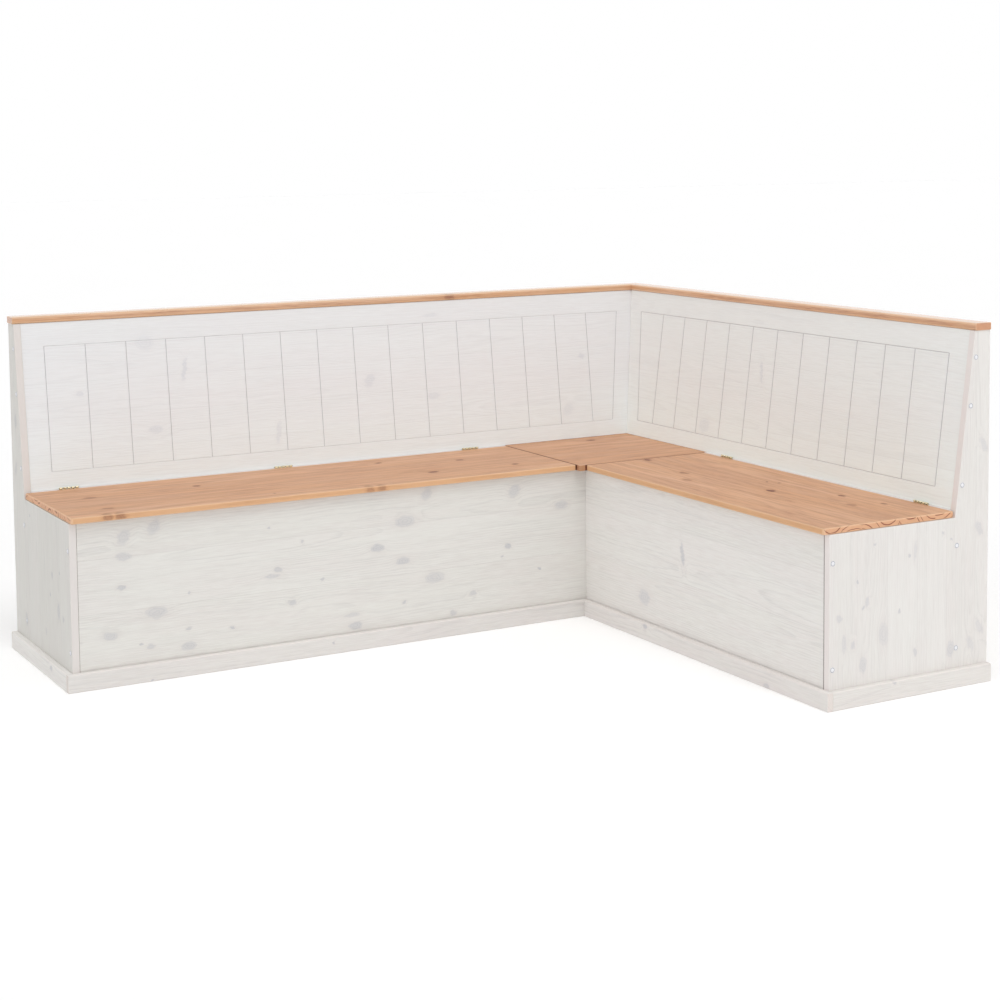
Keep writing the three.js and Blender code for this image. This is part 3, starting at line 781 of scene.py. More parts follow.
def pine_figure():
    """The group that gives pine its staves, growth rings, fibres and patches."""
    group = bpy.data.node_groups.new("pine_figure", "ShaderNodeTree")
    group.interface.new_socket(name="Place", in_out="INPUT", socket_type="NodeSocketVector")
    for name in ("Knot distance", "Seed", "Stave", "Shift", "Ring spacing"):
        group.interface.new_socket(name=name, in_out="INPUT", socket_type="NodeSocketFloat")
    for name in ("Stave tone", "Rings", "Late wood", "Fibre", "Streak", "Patch", "Seam"):
        group.interface.new_socket(name=name, in_out="OUTPUT", socket_type="NodeSocketFloat")
    build = Tree(group)
    given = build.node("NodeGroupInput").outputs
    along, across, through = build.split(given["Place"])

    # Each stave of the glued board has its own chance values
    shifted = build.math("ADD", across, given["Shift"])
    stave = build.math("FLOOR", build.math("DIVIDE", shifted, given["Stave"]))
    chances = build.node("ShaderNodeTexWhiteNoise", (build.vector(stave, given["Seed"], 0),))
    stave_tone, sideways, deep = build.node("ShaderNodeSeparateColor", (chances.outputs["Color"],)).outputs
    stave_middle = build.math("MULTIPLY", build.math("ADD", stave, 0.5), given["Stave"])
    from_middle = build.math("SUBTRACT", shifted, stave_middle)
    own_along = build.math("MULTIPLY_ADD", stave_tone, STAVE_OFFSET, along)

    # The pith wanders along the stave, over or under its face
    wander_place = build.vector(build.math("DIVIDE", own_along, WANDER_LENGTH), given["Seed"], stave)
    wander = build.node("ShaderNodeSeparateColor", (build.noise(wander_place)["Color"],)).outputs
    pith_side = build.math("MULTIPLY", build.math("SUBTRACT", sideways, 0.5), given["Stave"])
    pith_side = build.math("MULTIPLY_ADD", build.math("SUBTRACT", wander[0], 0.5), PITH_WANDER, pith_side)
    side = build.math("SUBTRACT", deep, 0.5)
    pith_depth = build.math("MULTIPLY", build.math("SIGN", side), PITH_DEPTH)
    pith_depth = build.math("MULTIPLY_ADD", side, PITH_DEPTH_SPREAD, pith_depth)
    pith_depth = build.math("MULTIPLY_ADD", build.math("SUBTRACT", wander[1], 0.5), PITH_WANDER, pith_depth)
    from_pith = build.vector(
        build.math("SUBTRACT", from_middle, pith_side), build.math("ADD", through, pith_depth), 0
    )

    # Rings follow the distance from the pith, ripple a little, and flow round the knots
    own_place = build.vector(own_along, across, through)
    ripple = build.noise(build.stretched(own_place, RIPPLE_LENGTH, RIPPLE_WIDTH, RIPPLE_WIDTH))["Fac"]
    swell = build.math("MULTIPLY", given["Knot distance"], given["Knot distance"])
    swell = build.math("EXPONENT", build.math("MULTIPLY", swell, -KNOT_SWELL_FALL))
    reach = build.math("MULTIPLY_ADD", ripple, RIPPLE_HEIGHT, build.length(from_pith))
    reach = build.math("MULTIPLY_ADD", swell, KNOT_SWELL, reach)
    rings = build.math("DIVIDE", reach, given["Ring spacing"])
    change_place = build.vector(build.math("MULTIPLY", rings, RING_CHANGE_PACE), given["Seed"], stave)
    change = build.noise(change_place)["Fac"]
    ring_share = build.math("FRACT", build.math("ADD", rings, build.math("MULTIPLY", change, RING_CHANGE)))
    rise = build.spread(ring_share, LATE_WOOD_START_SHARE, LATE_WOOD_FULL_SHARE)
    fall = build.spread(ring_share, LATE_WOOD_END_SHARE, 1, 1, 0)
    rings = build.math("MULTIPLY", build.math("POWER", rise, LATE_WOOD_SHARPNESS), fall)
    fade = build.noise(build.stretched(own_place, FADE_LENGTH, FADE_WIDTH, FADE_WIDTH), 2)["Fac"]
    late_wood = build.math("MULTIPLY", rings, build.spread(fade, *FADE_SHARES))

    fibre = build.noise(build.stretched(own_place, FIBRE_LENGTH, FIBRE_WIDTH, FIBRE_WIDTH), 2)["Fac"]
    streak = build.noise(build.stretched(own_place, STREAK_LENGTH, STREAK_WIDTH, STREAK_WIDTH), 3)["Fac"]
    patch = build.noise(build.stretched(own_place, PATCH_LENGTH, PATCH_WIDTH, PATCH_WIDTH), 2)["Fac"]
    half_stave = build.math("MULTIPLY", given["Stave"], 0.5)
    to_seam = build.math("SUBTRACT", half_stave, build.math("ABSOLUTE", from_middle))
    seam = build.spread(to_seam, 0, SEAM_WIDTH, 1, 0)
    results = (
        stave_tone,
        rings,
        late_wood,
        build.spread(fibre, *FIBRE_SHARES),
        build.spread(streak, *STREAK_SHARES),
        build.spread(patch, *PATCH_SHARES),
        seam,
    )
    build.node("NodeGroupOutput", results)
    return group


PINE_FIGURE = pine_figure()


def knot_cover(build, place, knots, chance):
    """How far knots cover a place, and the distance to the nearest one, counted in its own size."""
    bend = build.noise(build.stretched(place, KNOT_BEND_LENGTH, KNOT_BEND_WIDTH, KNOT_BEND_WIDTH))["Color"]
    bend = build.vector_math("SUBTRACT", bend, (0.5, 0.5, 0.5))
    bent = build.vector_math("MULTIPLY_ADD", bend, KNOT_BENDING, place)
    flat = build.vector_math("MULTIPLY", bent, (1, 1, 0))
    cover = 0
    nearest = NO_KNOT_NEAR
    for along, across, kind in knots:
        half_length, half_width, lean, strength = KNOT_KINDS[kind]
        sources = {
            "Vector": flat,
            "Location": (along, across, 0),
            "Rotation": (0, 0, math.radians(lean)),
            "Scale": (half_length, half_width, 1),
        }
        distance = build.length(build.node("ShaderNodeMapping", sources, vector_type="TEXTURE").outputs[0])
        own_cover = strength * chance.uniform(LEAST_KNOT_SHARE, 1)
        own_cover = build.spread(distance, KNOT_CORE_SHARE, KNOT_RIM_SHARE, own_cover, 0)
        cover = build.math("MAXIMUM", own_cover, cover)
        nearest = build.math("MINIMUM", distance, nearest)
    return cover, nearest


def scattered_knots(size_along, size_across, chance):
    """Chance knots for a board whose knots can't be made out."""
    count = math.ceil(size_along * size_across / AREA_OF_ONE_KNOT)
    return [
        (chance.random() * size_along, chance.random() * size_across, chance.choice(SCATTERED_KINDS))
        for _ in range(count)
    ]


def knots_of(leg, node, grain, on_board, chance):
    """A board's knots: their places along and across it, and their kinds. Boards without a table get some."""
    low, high = leg.box(node)
    if node not in BOARD_KNOT_SHARES:
        far = on_board(high)
        near = on_board(low)
        return scattered_knots(abs(far[0] - near[0]), abs(far[1] - near[1]), chance)
    knots = []
    for share_along, share_across, kind in BOARD_KNOT_SHARES[node]:
        measures = list(low)
        measures[grain[0]] += share_along * (high - low)[grain[0]]
        measures[grain[1]] += share_across * (high - low)[grain[1]]
        knots.append((*on_board(measures), kind))
    return knots


def layered_colour(build, node, palette, figure, knots, washed):
    """The wood's own colour, then each layer of the palette over it where the figure or a mark shows it."""
    cover, nearest = knots
    end_grain = build.attribute("end grain")
    end_ring_and_shade_share = build.math("MULTIPLY", end_grain, END_RING_AND_SHADE_SHARES.get(node, USUAL_END_RING_SHARE))
    knot_rings = build.math("FRACT", build.math("MULTIPLY", nearest, KNOT_RING_COUNT))
    knot_rings = build.spread(knot_rings, *KNOT_RING_SHARES)
    shares = {
        "patch": figure["Patch"],
        "streak": figure["Streak"],
        "late wood": figure["Late wood"],
        "fibre": figure["Fibre"],
        "seam": figure["Seam"],
        "edge": build.attribute("edge"),
        "end grain": end_grain,
        "end rings": build.math(
            "MULTIPLY", build.spread(figure["Rings"], END_RING_START_SHARE, 1), end_ring_and_shade_share
        ),
        "halo": build.spread(nearest, KNOT_CORE_SHARE, HALO_RIM_SHARE, 1, 0),
        "knot": cover,
        "knot rings": build.math("MULTIPLY", knot_rings, cover),
        "wash": washed,
        # Rounded edges are lightened, partly as wear and partly as a painted highlight
        "worn": build.attribute("worn"),
        "groove": build.attribute("groove"),
        # Painted shadow in the gaps between parts
        "joint": build.attribute("joint"),
    }
    colour = build.mix(figure["Stave tone"], palette["dark stave"], palette["pale stave"])
    for layer, share in shares.items():
        layer_tone, strength = palette[layer]
        colour = build.mix(build.math("MULTIPLY", share, strength), colour, layer_tone)
    return colour


def with_painted_light(build, node, colour, height):
    """The colour with a board's painted light and shade. On a backrest it holds for its side to the room, and
    is cooled towards the seats against their warm bounce light.
    """
    if node not in BOARD_LIGHT_AND_SHADE_SHARES:
        return colour
    on_backrest_panel = node.endswith("backrest_panel")
    painted_light_side = build.attribute("room side") if on_backrest_panel else 1
    colour = build.mix(painted_light_side, colour, (*BOARD_LIGHT_AND_SHADE_SHARES[node], 1), "MULTIPLY")
    if on_backrest_panel:
        near_seat_bounce_cancel = build.math("MULTIPLY", build.spread(height, 0, NEAR_SEAT_HEIGHT, 1, 0), painted_light_side)
        colour = build.mix(near_seat_bounce_cancel, colour, (*NEAR_SEAT_BOUNCE_CANCEL_SHARES, 1), "MULTIPLY")
    return colour


def pine(leg, node, palette, grain, stave=STAVE_WIDTH, seam=0, washed=0):
    """A pine finish for one board, with one of its stave seams at a distance across it.

    A wash is a thin coat over the whole board, which softens its figure.
    """
    material, build, shader = new_material(f"{node}_pine")
    seed = len(bpy.data.materials)
    chance = random.Random(seed)
    letters = leg.letters(grain)
    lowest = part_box(node)[0]
    axes = dict(zip("XYZ", build.split(build.vector_math("SUBTRACT", build.object_place(), lowest))))
    place = build.vector(*(axes[letter] for letter in letters))

    def on_board(measures):
        """Places along and across the board, as the material counts them."""
        own = leg.point(*measures) - lowest
        return [own["XYZ".index(letter)] for letter in letters[:2]]

    seam_place = leg.box(node)[0]
    seam_place[grain[1]] += seam
    knots = knot_cover(build, place, knots_of(leg, node, grain, on_board, chance), chance)
    sources = {
        "Place": place,
        "Knot distance": knots[1],
        "Seed": seed,
        "Stave": stave,
        "Shift": -on_board(seam_place)[1],
        "Ring spacing": palette["ring spacing"],
    }
    figure = build.node("ShaderNodeGroup", sources, node_tree=PINE_FIGURE).outputs
    colour = layered_colour(build, node, palette, figure, knots, washed)
    colour = with_painted_light(build, node, colour, axes["Z"])
    roughness = build.math("MULTIPLY_ADD", figure["Fibre"], FIBRE_ROUGHNESS, palette["roughness"])
    height = build.math("SUBTRACT", figure["Fibre"], figure["Seam"])
    finish_shader(build, shader, colour, roughness, height, WOOD_RELIEF, palette["relief"])
    shader.inputs["Coat Weight"].default_value = palette.get("coat", 0)
    shader.inputs["Coat Roughness"].default_value = RAIL_COAT_ROUGHNESS
    return material


def brass():
    """Dull yellow brass with patches of tarnish, finely scratched. The pin is dark brown, as tarnish and as
    painted shade between the knuckles.
    """
    material, build, shader = new_material("hinge_brass")
    place = build.object_place()
    tarnish = build.noise(build.stretched(place, *[BRASS_TARNISH_SIZE] * 3), 3)["Fac"]
    tarnish = build.spread(tarnish, *BRASS_TARNISH_SHARES)
    width = BRASS_SCRATCH_WIDTH
    scratch = build.noise(build.stretched(place, BRASS_SCRATCH_LENGTH, BRASS_SCRATCH_LENGTH, width))["Fac"]
    shader.inputs["Metallic"].default_value = 1
    dullness = build.math("ADD", tarnish, scratch)
    roughness = build.spread(dullness, *BRASS_DULLNESS_SHARES, *BRASS_ROUGHNESS)
    colour = build.mix(tarnish, BRASS_PALE, BRASS_DARK)
    colour = build.mix(build.attribute("tarnished"), colour, BRASS_PIN_SHADE_BROWN)
    finish_shader(build, shader, colour, roughness, scratch, BRASS_RELIEF, BRASS_RELIEF_SHARE)
    return material


def cap_plastic():
    """White moulded plastic with a faint mottle, and a grey painted shade on its ring."""
    material, build, shader = new_material("cap_plastic")
    mottle = build.noise(build.stretched(build.object_place(), *[CAP_MOTTLE_SIZE] * 3), 2)["Fac"]
    colour = build.mix(build.spread(mottle, *CAP_MOTTLE_SHARES), *CAP_TONES)
    colour = build.mix(build.attribute("ring"), colour, CAP_RING_SHADE_TONE)
    roughness = build.spread(mottle, *CAP_MOTTLE_SHARES, *CAP_ROUGHNESS)
    finish_shader(build, shader, colour, roughness, mottle, CAP_RELIEF, CAP_RELIEF_SHARE)
    return material


# Boards
def slant_depth(height):
    """Depth of the side panels' slanted edge at a height."""
    share_up = (height - SEAT_HEIGHT) / (RAIL_BOTTOM - SEAT_HEIGHT)
    return SLANT_DEPTH_AT_SEAT + share_up * (SLANT_DEPTH_AT_RAIL - SLANT_DEPTH_AT_SEAT)


def plain_board(leg, node, slot, palette, grain, easing=EDGE_EASING):
    """A straight board with eased edges."""
    start_block(leg, *leg.box(node))
    ease_corners(easing)
    mark_ends_and_edges(leg, grain)
    close_piece(node, slot, pine(leg, node, palette, grain, washed=1))


def side_panel(leg):
    """An upright board whose upper part slants back with the backrest. The cover caps sit in its holes."""
    node = f"{leg.end_name}_side_panel"
    low, high = leg.box(node)
    box_top = leg.box(f"{leg.name}_front_panel")[1].z
    start_block(leg, low, (high.x, high.y, box_top))
    cut_across(leg, DEPTH, slant_depth(box_top))
    pick("FACE", lambda face: face.normal.z > 0 and face_middle(leg, face).y < slant_depth(box_top))
    grow((0, 0, high.z - box_top))
    pick("VERT", lambda corner: corner.co.z > high.z - NEAR and corner_place(leg, corner).y > low.y + NEAR)
    shift_picked(leg.direction(0, slant_depth(high.z) - slant_depth(box_top), 0))
    join_flat_faces()
    ease_corners()
    mark_ends_and_edges(leg, END_BOARD)
    caps = [leg.box(cap) for cap in frame["nodes"] if cap.startswith(f"{leg.end_name}_screw_cap")]
    hole = (high.x - CAP_HOLE_DEPTH, high.x + CUT_OVERRUN)
    holes = [rod_along(CAP_HOLE_RADIUS, hole, (cap_low + cap_high) / 2) for cap_low, cap_high in caps]
    combine(leg, "DIFFERENCE", add_rod, holes)
    finish = pine(leg, node, WHITE_PALETTE, END_BOARD, seam=SIDE_SEAM_DEPTH, washed=SIDE_WASH_SHARE)
    close_piece(node, "white_pine", finish)


def front_panel(leg):
    """A front board, with a chamfer beside the side panel that is painted dark as the shadow in that gap."""
    node = f"{leg.name}_front_panel"
    low, high = leg.box(node)
    start_block(leg, low, high)
    pick("EDGE", lambda edge: at_outer_front(leg, edge, high))
    bpy.ops.mesh.bevel(offset=GAP_SHADOW_CHAMFER[leg.name], segments=1, affect="EDGES")
    mark("joint", GAP_SHADOW_SHARE[leg.name])
    ease_corners()
    mark_ends_and_edges(leg, UPRIGHT_BOARD)
    finish = pine(leg, node, WHITE_PALETTE, UPRIGHT_BOARD, stave=FRONT_STAVE_WIDTH, seam=FRONT_SEAM_HEIGHT)
    close_piece(node, "white_pine", finish)


def lower_back_panel(leg):
    """The back board of the box. It steps down under the corner seat board."""
    node = f"{leg.name}_lower_back_panel"
    low, high = leg.box(node)
    box_top = leg.box(f"{leg.name}_front_panel")[1].z
    step_along = leg.box(f"{leg.name}_backrest_cleat")[0].x
    start_block(leg, low, (high.x, high.y, box_top))
    cut_across(leg, ALONG, step_along)
    pick("FACE", lambda face: face.normal.z > 0 and face_middle(leg, face).x > step_along)
    grow((0, 0, high.z - box_top))
    join_flat_faces()
    ease_corners()
    mark_ends_and_edges(leg, UPRIGHT_BOARD)
    close_piece(node, "white_pine", pine(leg, node, WHITE_PALETTE, UPRIGHT_BOARD, washed=1))


def on_backrest(along, height):
    """A place on the backrest's face, in leg measures."""
    return (along, slant_depth(height) - BACKREST_RECESS, height)


def add_groove(leg, start, end):
    """A three-sided cutter along a line on the backrest's face, with one edge in the board."""
    first, last = leg.point(*start), leg.point(*end)
    run = (last - first).normalized()
    inward = leg.direction(0, -math.cos(SLANT_ANGLE), -math.sin(SLANT_ANGLE))
    shares = LEVEL_GROOVE_SHARE if start[2] == end[2] else UPRIGHT_GROOVE_SHARE
    depth = GROOVE_DEPTH * shares[leg.name]
    bpy.ops.mesh.primitive_cylinder_add(
        vertices=3,
        radius=2 * depth,
        depth=(last - first).length,
        location=(first + last) / 2 - inward * depth,
        rotation=Matrix((inward.cross(run), inward, run)).transposed().to_euler(),
        scale=(GROOVE_WIDTH / 2 / (GROOVE_DEPTH * math.tan(CUTTER_HALF_ANGLE)), 1, 1),
    )


def groove_lines(leg):
    """The grooves draw a frame with upright plank lines in it. The frame leans with the corner."""
    low = SEAT_HEIGHT + GROOVE_BOTTOM_MARGIN
    high = RAIL_BOTTOM - GROOVE_TOP_MARGIN
    frame_end = leg.box(f"{leg.end_name}_side_panel")[0].x - GROOVE_SIDE_MARGIN[leg.name]
    corner_margin = GROOVE_CORNER_MARGIN[leg.name]
    corner_low = on_backrest(slant_depth(low) - BACKREST_RECESS + corner_margin, low)
    corner_high = on_backrest(slant_depth(high) - BACKREST_RECESS + corner_margin, high)
    lines = [
        (corner_low, on_backrest(frame_end, low)),
        (corner_high, on_backrest(frame_end, high)),
        (corner_low, corner_high),
        (on_backrest(frame_end, low), on_backrest(frame_end, high)),
    ]
    for line in range(PLANK_LINES[leg.name]):
        along = FIRST_PLANK_ALONG[leg.name] + line * PLANK_PITCH[leg.name]
        lines.append((on_backrest(along, low), on_backrest(along, high)))
    return lines


def mark_backrest(leg, lines, corner_end):
    """Marks the faces that look into the room, and those in the grooves."""
    outward = leg.direction(0, math.cos(SLANT_ANGLE), math.sin(SLANT_ANGLE))
    sideways = leg.direction(1, 0, 0)
    inner_low = Vector(lines[0][0])
    inner_high = Vector(lines[1][1])

    def in_groove(face):
        middle = face_middle(leg, face)
        on_frame = inner_low.z - GROOVE_WIDTH < middle.z < inner_high.z + GROOVE_WIDTH
        clear_of_ends = corner_end + GROOVE_WIDTH < middle.x < inner_high.x + GROOVE_WIDTH
        return on_frame and clear_of_ends and abs(face.normal.dot(outward)) < math.cos(GROOVE_LEAST_ANGLE)

    def in_upright_groove(face):
        return in_groove(face) and abs(face.normal.dot(sideways)) > math.sin(GROOVE_LEAST_ANGLE)

    pick("FACE", lambda face: looks(face, outward) or in_groove(face))
    mark("room side")
    pick("FACE", in_groove)
    mark("groove", LEVEL_GROOVE_SHARE[leg.name])
    pick("FACE", in_upright_groove)
    mark("groove", min(1, UPRIGHT_GROOVE_SHARE[leg.name]))


def backrest(leg):
    """A slanted board, shaped at the corner to meet the other leg's, with V-grooves in its face."""
    node = f"{leg.name}_backrest_panel"
    low, high = leg.box(node)
    lean = slant_depth(low.z) - slant_depth(high.z)
    front = slant_depth(low.z) - BACKREST_RECESS
    rear = front - BACKREST_THICKNESS / math.cos(SLANT_ANGLE)
    corner_end = low.x + lean
    start_block(leg, (corner_end, rear, low.z), (high.x, front, high.z))

    def at_top(corner):
        return corner.co.z > high.z - NEAR

    pick("VERT", at_top)
    shift_picked(leg.direction(0, -lean, 0))
    pick("VERT", lambda corner: at_top(corner) and corner_place(leg, corner).x < corner_end + NEAR)
    shift_picked(leg.direction(-lean, 0, 0))
    ease_corners()
    mark_ends_and_edges(leg, UPRIGHT_BOARD)
    lines = groove_lines(leg)
    combine(leg, "DIFFERENCE", add_groove, lines)
    mark_backrest(leg, lines, corner_end)
    close_piece(node, "white_pine", pine(leg, node, WHITE_PALETTE, UPRIGHT_BOARD, washed=1))


def top_rail(leg):
    """The rail over a backrest, mitred over the room corner and rounded along its front."""
    node = f"{leg.name}_top_rail"
    low, high = leg.box(node)
    mitre_end = low.x + high.y + NEAR
    start_block(leg, low, high)

    def at_inner_front(corner):
        place = corner_place(leg, corner)
        return place.x < low.x + NEAR and place.y > high.y - NEAR

    def along_front(edge):
        middle = edge_middle(leg, edge)
        return middle.y > high.y - NEAR and mitre_end < middle.x < high.x - NEAR

    pick("VERT", at_inner_front)
    shift_picked(leg.direction(high.y, 0, 0))
    pick("EDGE", along_front)
    round_edges(RAIL_ROUNDING, ROUND_SEGMENTS)
    pick("EDGE", lambda edge: is_corner(edge) and edge_middle(leg, edge).x > mitre_end)
    round_edges(EDGE_EASING, EASING_SEGMENTS)
    pick("EDGE", lambda edge: is_corner(edge) and edge_middle(leg, edge).x < mitre_end)
    round_edges(JOINT_EASING, 1)
    mark_ends_and_edges(leg, UPRIGHT_BOARD)
    close_piece(node, "honey_pine", pine(leg, node, RAIL_PALETTE, FLAT_BOARD, stave=SEAT_STAVE_WIDTH))


def seat_lid(leg):
    """A hinged seat board, rounded along its front and its free end."""
    node = f"{leg.name}_seat_lid"
    low, high = leg.box(node)
    start_block(leg, low, high)

    def at_free_rim(edge):
        middle = edge_middle(leg, edge)
        outside = middle.x > high.x - LID_CORNER_ROUNDING or middle.y > high.y - LID_CORNER_ROUNDING
        return outside and (middle.z > high.z - NEAR or middle.z < low.z + NEAR) and is_corner(edge)

    pick("EDGE", lambda edge: at_outer_front(leg, edge, high))
    round_edges(LID_CORNER_ROUNDING, 2 * ROUND_SEGMENTS)
    pick("EDGE", at_free_rim)
    round_edges(LID_ROUNDING, ROUND_SEGMENTS)
    ease_corners()
    mark_ends_and_edges(leg, FLAT_BOARD)
    # The long lid's end at the corner board is painted dark, as the shadow in the gap there
    pick("FACE", lambda face: leg is LONG and face_middle(leg, face).x < low.x + EDGE_EASING)
    mark("joint")
    close_piece(node, "honey_pine", pine(leg, node, HONEY_PALETTE, FLAT_BOARD, stave=SEAT_STAVE_WIDTH))


def corner_seat_board():
    """The fixed board in the corner. Its small front faces take a darker tone, and strips of them beside the
    gaps to the lids are painted dark as shadow.
    """
    node = "corner_seat_board"
    low, high = LONG.box(node)
    lid_front = LONG.box("long_seat_lid")[1].y
    lid_end = LONG.box("short_seat_lid")[1].x
    start_block(LONG, low, high)
    cut_across(LONG, DEPTH, lid_front + SHADED_BESIDE_GAP)
    cut_across(LONG, ALONG, lid_end + SHADED_BESIDE_GAP)
    ease_corners()
    mark_ends_and_edges(LONG, FLAT_BOARD)

    def beside_gap(face):
        middle = face_middle(LONG, face)
        at_end = middle.x > high.x - EDGE_EASING and middle.y < lid_front + SHADED_BESIDE_GAP
        return at_end or middle.y > high.y - EDGE_EASING and middle.x < lid_end + SHADED_BESIDE_GAP

    # The faces in front, in the notch between the lids, take the darker groove tone
    pick("FACE", lambda face: abs(face.normal.z) < FACING_SHARE and face_middle(LONG, face).y > lid_front)
    mark("groove")
    pick("FACE", beside_gap)
    mark("joint")
    close_piece(node, "honey_pine", pine(LONG, node, HONEY_PALETTE, FLAT_BOARD, stave=SEAT_STAVE_WIDTH))


def plinth(leg, node, grain, outward):
    """A plinth board with its upper front edge rounded. Its face looks along the outward leg measure."""
    low, high = leg.box(node)
    start_block(leg, low, high)

    def at_upper_front(edge):
        middle = edge_middle(leg, edge)
        return middle[outward] > high[outward] - NEAR and middle.z > high.z - NEAR

    pick("EDGE", at_upper_front)
    round_edges(PLINTH_ROUNDING, ROUND_SEGMENTS)
    ease_corners()
    mark_facing(leg, grain[0], "end grain")
    close_piece(node, "white_pine", pine(leg, node, WHITE_PALETTE, grain))


def short_floor_panel():
    """The short leg's floor is cut round the tab of the long front panel."""
    node = "short_floor_panel"
    low, high = SHORT.box(node)
    tab = SHORT.box("long_front_panel")
    step_along = tab[1].x + FIT_GAP
    step_depth = tab[0].y - FIT_GAP
    start_block(SHORT, low, (high.x, step_depth, high.z))
    cut_across(SHORT, ALONG, step_along)
    outward = SHORT.direction(0, 1, 0)
    pick("FACE", lambda face: looks(face, outward) and face_middle(SHORT, face).x > step_along)
    grow(SHORT.direction(0, high.y - step_depth, 0))
    join_flat_faces()
    ease_corners()
    mark_ends_and_edges(SHORT, FLAT_BOARD)
    close_piece(node, "raw_pine", pine(SHORT, node, RAW_PALETTE, FLAT_BOARD, washed=1))


# Hinges
def screw_places(low, high):
    """Along and height of the two screws in a leaf."""
    height = low.z + SCREW_FROM_BOTTOM
    return [(low.x + SCREW_FROM_END, height), (high.x - SCREW_FROM_END, height)]


def hinge_leaf(node, axis, plate_rear, first_own, material):
    """A plate with every second knuckle of the barrel, bored for the pin and two screws."""
    low, high = LONG.box(node)
    plate_front = plate_rear + LEAF_THICKNESS
    finger_bottom = axis.z - KNUCKLE_RADIUS - SWEEP_CLEARANCE
    pitch = (high.x - low.x) / KNUCKLE_COUNT
    starts = [low.x + number * pitch for number in range(first_own, KNUCKLE_COUNT, 2)]
    spans = [(start + KNUCKLE_GAP / 2, start + pitch - KNUCKLE_GAP / 2) for start in starts]
    start_block(LONG, (low.x, plate_rear, low.z), (high.x, plate_front, finger_bottom))
    for span in spans:
        for along in span:
            cut_across(LONG, ALONG, along)

    def is_finger(face):
        middle = face_middle(LONG, face)
        return face.normal.z > 0 and any(start < middle.x < end for start, end in spans)

    pick("FACE", is_finger)
    grow((0, 0, axis.z - finger_bottom))
    join_flat_faces()
    ease_corners(LEAF_EASING, 1)
    combine(LONG, "UNION", add_rod, [rod_along(KNUCKLE_RADIUS, span, axis) for span in spans])
    bore = rod_along(BORE_RADIUS, (low.x - CUT_OVERRUN, high.x + CUT_OVERRUN), axis)
    rear, front = plate_rear - CUT_OVERRUN, plate_front + CUT_OVERRUN
    holes = [
        (SCREW_RADIUS, (along, rear, height), (along, front, height))
        for along, height in screw_places(low, high)
    ]
    combine(LONG, "DIFFERENCE", add_rod, [bore, *holes])
    close_piece(node, "hinge_brass", material)


def hinge_screws(leaf, plate_rear, head_side, material):
    """The two slotted screw heads in a leaf, flush with the side that they are driven from."""
    low, high = LONG.box(leaf)
    plate_front = plate_rear + LEAF_THICKNESS
    depths = (plate_rear, plate_front - SCREW_GAP) if head_side > 0 else (plate_rear + SCREW_GAP, plate_front)
    head_depth = depths[1] if head_side > 0 else depths[0]
    radius = SCREW_RADIUS - SCREW_GAP
    places = screw_places(low, high)
    for number, (along, height) in enumerate(places):
        add_rod(LONG, radius, (along, depths[0], height), (along, depths[1], height))
        if number == 0:
            open_piece()
    ease_corners(LEAF_EASING, 1)
    half_length = radius * SCREW_SLOT_SHARE
    half_width = SCREW_SLOT_WIDTH / 2
    slots = [
        (
            (along - half_length, head_depth - SCREW_SLOT_DEPTH, height - half_width),
            (along + half_length, head_depth + SCREW_SLOT_DEPTH, height + half_width),
        )
        for along, height in places
    ]
    combine(LONG, "DIFFERENCE", add_block, slots)
    bpy.ops.object.mode_set(mode="OBJECT")
    bpy.ops.object.shade_smooth_by_angle(angle=SMOOTH_ANGLE)
    name = leaf.replace("leaf", "screws")
    claim_piece(bpy.context.object, f"finished_{name}", BODY_OF_NODE[leaf], "hinge_brass", material)
    bpy.ops.object.select_all(action="DESELECT")


def hinge_pin(node, material):
    """A pin through the knuckles, dark brown all over: tarnish, and painted shade in the gaps between the
    knuckles.
    """
    low, high = LONG.box(node)
    axis = (low + high) / 2
    add_rod(LONG, *rod_along((high.z - low.z) / 2, (low.x, high.x), axis))
    open_piece()
    ease_corners(KNUCKLE_EASING)
    bpy.ops.mesh.select_all(action="SELECT")
    mark("tarnished")
    close_piece(node, "hinge_brass", material)


def hinges():
    """One hinge is modelled on the long lid, and the others are copies of it."""
    material = brass()
    first, *others = sorted(node[: -len("_pin")] for node in frame["nodes"] if node.endswith("_hinge_pin"))
    pin_low, pin_high = LONG.box(f"{first}_pin")
    axis = (pin_low + pin_high) / 2
    frame_plate = LONG.box("long_lower_back_panel")[1].y + FIT_GAP
    lid_plate = LONG.box("long_seat_lid")[0].y - FIT_GAP - LEAF_THICKNESS
    hinge_leaf(f"{first}_frame_leaf", axis, frame_plate, 0, material)
    hinge_leaf(f"{first}_lid_leaf", axis, lid_plate, 1, material)
    hinge_screws(f"{first}_frame_leaf", frame_plate, 1, material)
    hinge_screws(f"{first}_lid_leaf", lid_plate, -1, material)
    hinge_pin(f"{first}_pin", material)
    for other in others:
        turn = Matrix.Rotation(-QUARTER, 4, "Z") if other.startswith(SHORT.name) else Matrix()
        for ending in ("frame_leaf", "lid_leaf", "pin", "frame_screws", "lid_screws"):
            place_copy(f"{first}_{ending}", f"{other}_{ending}", f"{first}_pin", f"{other}_pin", turn)


def place_copy(source, target, source_node, target_node, turn):
    """Copies a piece from the middle of one node to the middle of another, turned on the way."""
    original = bpy.data.objects[f"finished_{source}"]
    start = sum(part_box(source_node), Vector()) / 2
    end = sum(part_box(target_node), Vector()) / 2
    matrix = Matrix.Translation(end) @ turn @ Matrix.Translation(-start)
    copied = copy_piece(original, f"finished_{target}", matrix)
    node = target.replace("screws", "leaf")
    material = original.data.materials[0]
    claim_piece(copied, f"finished_{target}", BODY_OF_NODE[node], original["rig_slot"], material)
    if target in frame["nodes"]:
        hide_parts(target)


